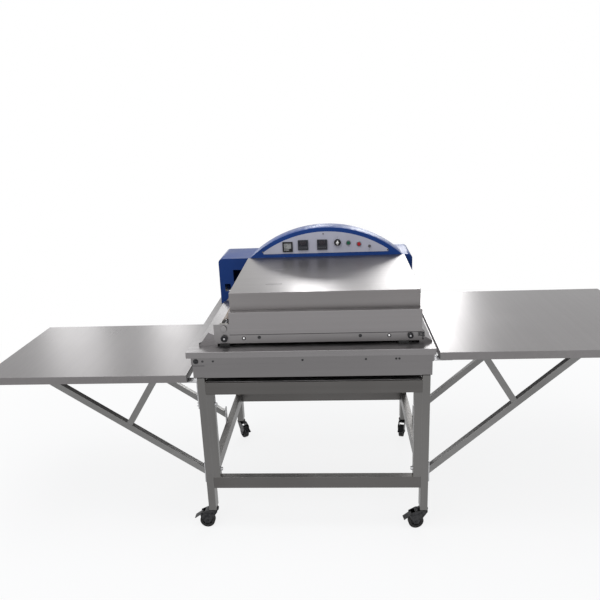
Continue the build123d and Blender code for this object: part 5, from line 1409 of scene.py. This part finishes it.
@dataclass
class Ammeter:
    """Dial of the current meter: card, scale and numbers behind the window."""

    top_amps: int = 30
    hub_radius: float = 0.0042
    corner_radius: float = 0.0088
    corner_drop: float = 0.0035
    frame_wide: float = 0.0034
    scale_inner: float = 0.0262
    scale_outer: float = 0.0292
    start_angle: float = 165.0
    sweep: float = 90.0
    ticks: int = 15
    print_thick: float = 0.00006
    number_size: float = 0.0042
    end_number_radius: float = 0.0222
    mid_number_radius: float = 0.0325
    unit_size: float = 0.0050
    unit_off: Flat = (-0.0205, -0.0027)

    def __post_init__(self) -> None:
        """Finds the window's corners and middle, the needle's pin and its depth."""
        self.low, self.high = corners("ammeter_window")
        self.middle = (self.low + self.high) / 2
        self.pin = Vector(joint("needle_swing")["pos_m"])
        self.needle_front, self.floor = (corner.y for corner in corners("ammeter_needle"))
        self.print_y = self.floor - 0.00012

    def spot(self, share: float, radius: float) -> Vector:
        """Point on the dial at a share of the scale and a radius from the needle's pin."""
        a = math.radians(self.start_angle - self.sweep * share)
        return Vector((self.pin.x + radius * math.cos(a), self.print_y, self.pin.z + radius * math.sin(a)))

    def scale(self) -> None:
        """Printed marks, arc and numbers."""
        scale = Maker()
        for i in range(self.ticks + 1):
            share, long = i / self.ticks, i % 5 == 0
            inner = self.scale_inner - (0.0012 if long else 0.0)
            wide = 0.00034 if long else 0.0002
            scale.stroke(self.spot(share, inner), self.spot(share, self.scale_outer), wide, 0.00008)
        scale.swept([self.spot(i / 40, self.scale_inner) for i in range(41)], lambda share: 0.0002)
        for i in range(4):
            radius = self.end_number_radius if i in (0, 3) else self.mid_number_radius
            place = front(*self.spot(i / 3, radius))
            scale.text(str(self.top_amps * i // 3), self.number_size, place, self.print_thick)
        right, up = self.unit_off
        unit = front(self.pin.x + right, self.print_y, self.pin.z + up)
        scale.text("A", self.unit_size, unit, self.print_thick)
        scale.make("ammeter_scale", PRINT_DARK)

    def frame(self) -> None:
        """Frame round the dial."""
        wide, tall = self.high.x - self.low.x, self.high.z - self.low.z
        outer = rounded_rectangle(wide, tall, 0.0018)
        inner = rounded_rectangle(wide - 2 * self.frame_wide, tall - 2 * self.frame_wide, 0.0008)
        lip = inset(outer, 0.0004)
        layers = [(inner, 0.0), (outer, 0.0), (outer, 0.0006), (lip, 0.0010), (inner, 0.0008)]
        rim = Maker()
        rim.stack(layers, front(self.middle.x, self.low.y, self.middle.z), bored=True)
        rim.make("ammeter_frame", BLACK_PLASTIC)

    def build(self) -> None:
        """Builds card, scale, the movement's cover in the dial's corner, the needle's hub and the frame."""
        card, corner, hub = Maker(), Maker(), Maker()
        size = (self.high.x - self.low.x - 0.0004, self.high.z - self.low.z - 0.0004)
        place = front(self.middle.x, self.floor + 0.0001, self.middle.z)
        card.plate(rounded_rectangle(*size, 0.0012), 0.0002, place)
        card.make("ammeter_card", DIAL_CARD)
        self.scale()
        r = self.corner_radius
        turns = [math.radians(-28.0 + 196.0 * i / 20) for i in range(21)]
        fan = [(0.0, 0.0), *((r * math.cos(a), r * math.sin(a)) for a in turns)]
        corner.plate(fan, 0.0002, front(self.pin.x, self.floor - 0.0001, self.pin.z - self.corner_drop))
        corner.make("movement_cover", BLACK_PLASTIC)
        r = self.hub_radius
        curve = [(r, 0.0), (r, 0.0005), (r * 0.8, 0.0009), (0.0006, 0.0010)]
        hub.turned(curve, front(self.pin.x, self.needle_front + 0.0006, self.pin.z), 28)
        hub.make("needle_hub", BLACK_PLASTIC, "needle")
        self.frame()


@dataclass
class Controllers:
    """Fronts of the two temperature controllers: bezel, dark window, digits and keys."""

    size: float = 0.048
    bezel: float = 0.0025
    window: Flat = (0.040, 0.0215)
    key: Flat = (0.0070, 0.0044)
    key_step: float = 0.0098
    digit_rows: tuple[Flat, ...] = ((0.0130, 0.0074), (0.0040, 0.0052))

    def digit(self, maker: Maker, middle: Vector, tall: float) -> None:
        """Seven unlit segments of one digit."""
        wide, thin = tall * 0.5, tall * 0.1
        level = rounded_rectangle(wide * 0.8, thin, thin * 0.4, 2)
        upright = rounded_rectangle(thin, tall * 0.42, thin * 0.4, 2)
        bars = [(0.0, z, level) for z in (tall / 2, 0.0, -tall / 2)]
        bars += [(x, z, upright) for x in (-wide / 2, wide / 2) for z in (-tall / 4, tall / 4)]
        for x, z, outline in bars:
            maker.plate(outline, 0.00012, front(middle.x + x, middle.y, middle.z + z))

    def controller(self, index: int, middle: Vector) -> None:
        """One controller's front."""
        bezel, screen, digits, keys = (Maker() for _ in range(4))
        inside = self.size - 2 * self.bezel
        outer = rounded_rectangle(self.size, self.size, 0.0016)
        inner = rounded_rectangle(inside, inside, 0.0010)
        lip = inset(outer, 0.0005)
        layers = [(outer, -0.0002), (outer, 0.0011), (lip, 0.0016), (inner, 0.0016), (inner, 0.0004)]
        bezel.stack(layers, front(*middle))
        bezel.make(f"controller_bezel_{index}", CASE_PLASTIC)
        place = front(middle.x, middle.y - 0.0003, middle.z + 0.0082)
        screen.plate(rounded_rectangle(*self.window, 0.0012), 0.0007, place, 0.0003)
        screen.make(f"controller_screen_{index}", SCREEN_PLASTIC)
        for i in range(4):
            off = i - 1.5
            for z, tall in self.digit_rows:
                self.digit(digits, middle + Vector((off * tall * 1.05, -0.00102, z)), tall)
            place = front(middle.x + off * self.key_step, middle.y - 0.0003, middle.z - 0.0128)
            keys.plate(rounded_rectangle(*self.key, 0.0012, 4), 0.0013, place, 0.0005)
        digits.make(f"controller_digits_{index}", SEGMENT_OFF)
        keys.make(f"controller_keys_{index}", KEY_PLASTIC)

    def build(self) -> None:
        """Builds both fronts."""
        low, high = corners("temperature_controllers")
        z = (low.z + high.z) / 2
        for index, x in enumerate((low.x + self.size / 2, high.x - self.size / 2)):
            self.controller(index, Vector((x, low.y, z)))


@dataclass
class Controls:
    """Instruments, knob, buttons and toggle on the panel."""

    rib_count: int = 24
    mark_inner: float = 0.0188
    mark_outer: float = 0.0215
    number_radius: float = 0.0248
    marks: int = 11
    numbered: tuple[int, ...] = (0, 5, 10)
    first_angle: float = 225.0
    sweep: float = 270.0
    bezel_wide: float = 0.0026
    knurls: int = 28
    print_thick: float = 0.0001
    number_size: float = 0.0052
    rib_foot: Flat = (0.0141, 0.0135)
    rib_tip: Flat = (0.0132, 0.0012)
    nut_radius: float = 0.0072
    nut_bore: float = 0.0046
    switch_size: float = 0.0055
    switch_words: tuple[tuple[str, float], ...] = (("1", 0.0165), ("0", -0.0155))

    def __post_init__(self) -> None:
        """Finds the panel's face, the knob's axis and the toggle's middle."""
        self.face = corners("control_panel")[0].y
        self.knob_x, _, self.knob_z = joint("knob_turn")["pos_m"]
        self.toggle = sum(corners("toggle_lever"), Vector()) / 2

    def dress(self) -> None:
        """Finishes of the control gear."""
        dress(BLACK_PLASTIC, 0.0004, "ammeter_case")
        dress(PRINT_DARK, 0.0, "ammeter_needle")
        dress(METER_GLASS, 0.0, "ammeter_window")
        dress(CASE_PLASTIC, 0.0004, "temperature_controllers")
        dress(BLACK_PLASTIC, 0.0, "speed_knob")
        dress(GREEN_CAP, 0.0, "green_button")
        dress(RED_CAP, 0.0, "red_button")
        dress(DARK_CHROME, 0.0, "toggle_lever", "panel_fittings")

    def by_knob(self, angle: float, radius: float, y: float) -> Vector:
        """Point at an angle and radius from the knob's axis."""
        return Vector((self.knob_x + radius * math.cos(angle), y, self.knob_z + radius * math.sin(angle)))

    def knob(self) -> None:
        """Knob's grip ribs, plated centre and white pointer."""
        y = corners("speed_knob")[0].y
        ribs, centre, pointer = Maker(), Maker(), Maker()
        for angle in around(self.rib_count):
            foot, tip = (self.by_knob(angle, r, y + deep) for r, deep in (self.rib_foot, self.rib_tip))
            ribs.swept([foot.lerp(tip, i / 4) for i in range(5)], lambda share: 0.0009)
        ribs.make("knob_ribs", BLACK_PLASTIC, "knob")
        place = front(self.knob_x, y, self.knob_z)
        centre.turned([(0.0062, -0.0004), (0.0062, 0.0002), (0.0056, 0.0004), (0.0002, 0.0004)], place)
        centre.plate(rounded_rectangle(0.0046, 0.0226, 0.0018, 4), 0.0011, place, 0.0005)
        centre.make("knob_centre", CHROME, "knob")
        tip = front(self.knob_x, y, self.knob_z + 0.0078)
        pointer.plate(rounded_rectangle(0.0018, 0.0064, 0.0006, 3), 0.0014, tip)
        pointer.make("knob_pointer", PRINT_WHITE, "knob")

    def knob_scale(self) -> None:
        """Marks and numbers printed round the knob."""
        maker = Maker()
        step = self.sweep / (self.marks - 1)
        angles = [math.radians(self.first_angle - step * i) for i in range(self.marks)]
        for angle in angles:
            start, end = (self.by_knob(angle, r, self.face) for r in (self.mark_inner, self.mark_outer))
            maker.stroke(start, end, 0.0003, 0.00012)
        for i in self.numbered:
            spot = self.by_knob(angles[i], self.number_radius, self.face)
            maker.text(str(i), self.number_size, front(*spot), self.print_thick)
        maker.make("knob_scale", PRINT_DARK)

    def bezels(self) -> None:
        """Knurled rings round the push buttons."""
        for node in ("green_button", "red_button"):
            low, high = corners(node)
            x, z = (low.x + high.x) / 2, (low.z + high.z) / 2
            inner = (high.x - low.x) / 2 + 0.0008
            outer = inner + self.bezel_wide
            maker = Maker()
            profile = [(inner, 0.0), (outer, 0.0), (outer, 0.0022), (outer - 0.0008, 0.0032), (inner, 0.0030)]
            maker.turned(profile, front(x, self.face, z), 40, bored=True)
            for right, up in polygon(outer, self.knurls):
                rib = [Vector((x + right, self.face - h, z + up)) for h in (0.0002, 0.0012, 0.0022)]
                maker.swept(rib, lambda share: 0.0003)
            maker.make(f"{node}_bezel", DARK_CHROME)

    def toggle_nut(self) -> None:
        """Nut round the toggle, and 1 and 0 over and under it."""
        nut, print_marks = Maker(), Maker()
        outline, hole = (polygon(radius, 6, math.pi / 6) for radius in (self.nut_radius, self.nut_bore))
        lip = inset(outline, 0.0005)
        layers = [(hole, 0.0), (outline, 0.0), (outline, 0.0013), (lip, 0.0018), (hole, 0.0018)]
        nut.stack(layers, front(self.toggle.x, self.face, self.toggle.z), bored=True)
        nut.make("toggle_nut", CHROME)
        for word, lift in self.switch_words:
            place = front(self.toggle.x, self.face, self.toggle.z + lift)
            print_marks.text(word, self.switch_size, place, self.print_thick)
        print_marks.make("switch_marks", PRINT_DARK)

    def build(self) -> None:
        """Builds the controls' details."""
        self.dress()
        Ammeter().build()
        Controllers().build()
        self.knob()
        self.knob_scale()
        self.bezels()
        self.toggle_nut()


def main() -> None:
    """Builds the sub-assemblies in order."""
    logging.basicConfig(level=logging.INFO, format="%(name)s: %(message)s")
    Studio().build()
    for assembly in (Stand(), Tables(), Cabinet(), Castors(), Head(), Housing(), Controls()):
        assembly.build()
        LOG.info("%s built", type(assembly).__name__)


if __name__ == "__main__":
    main()
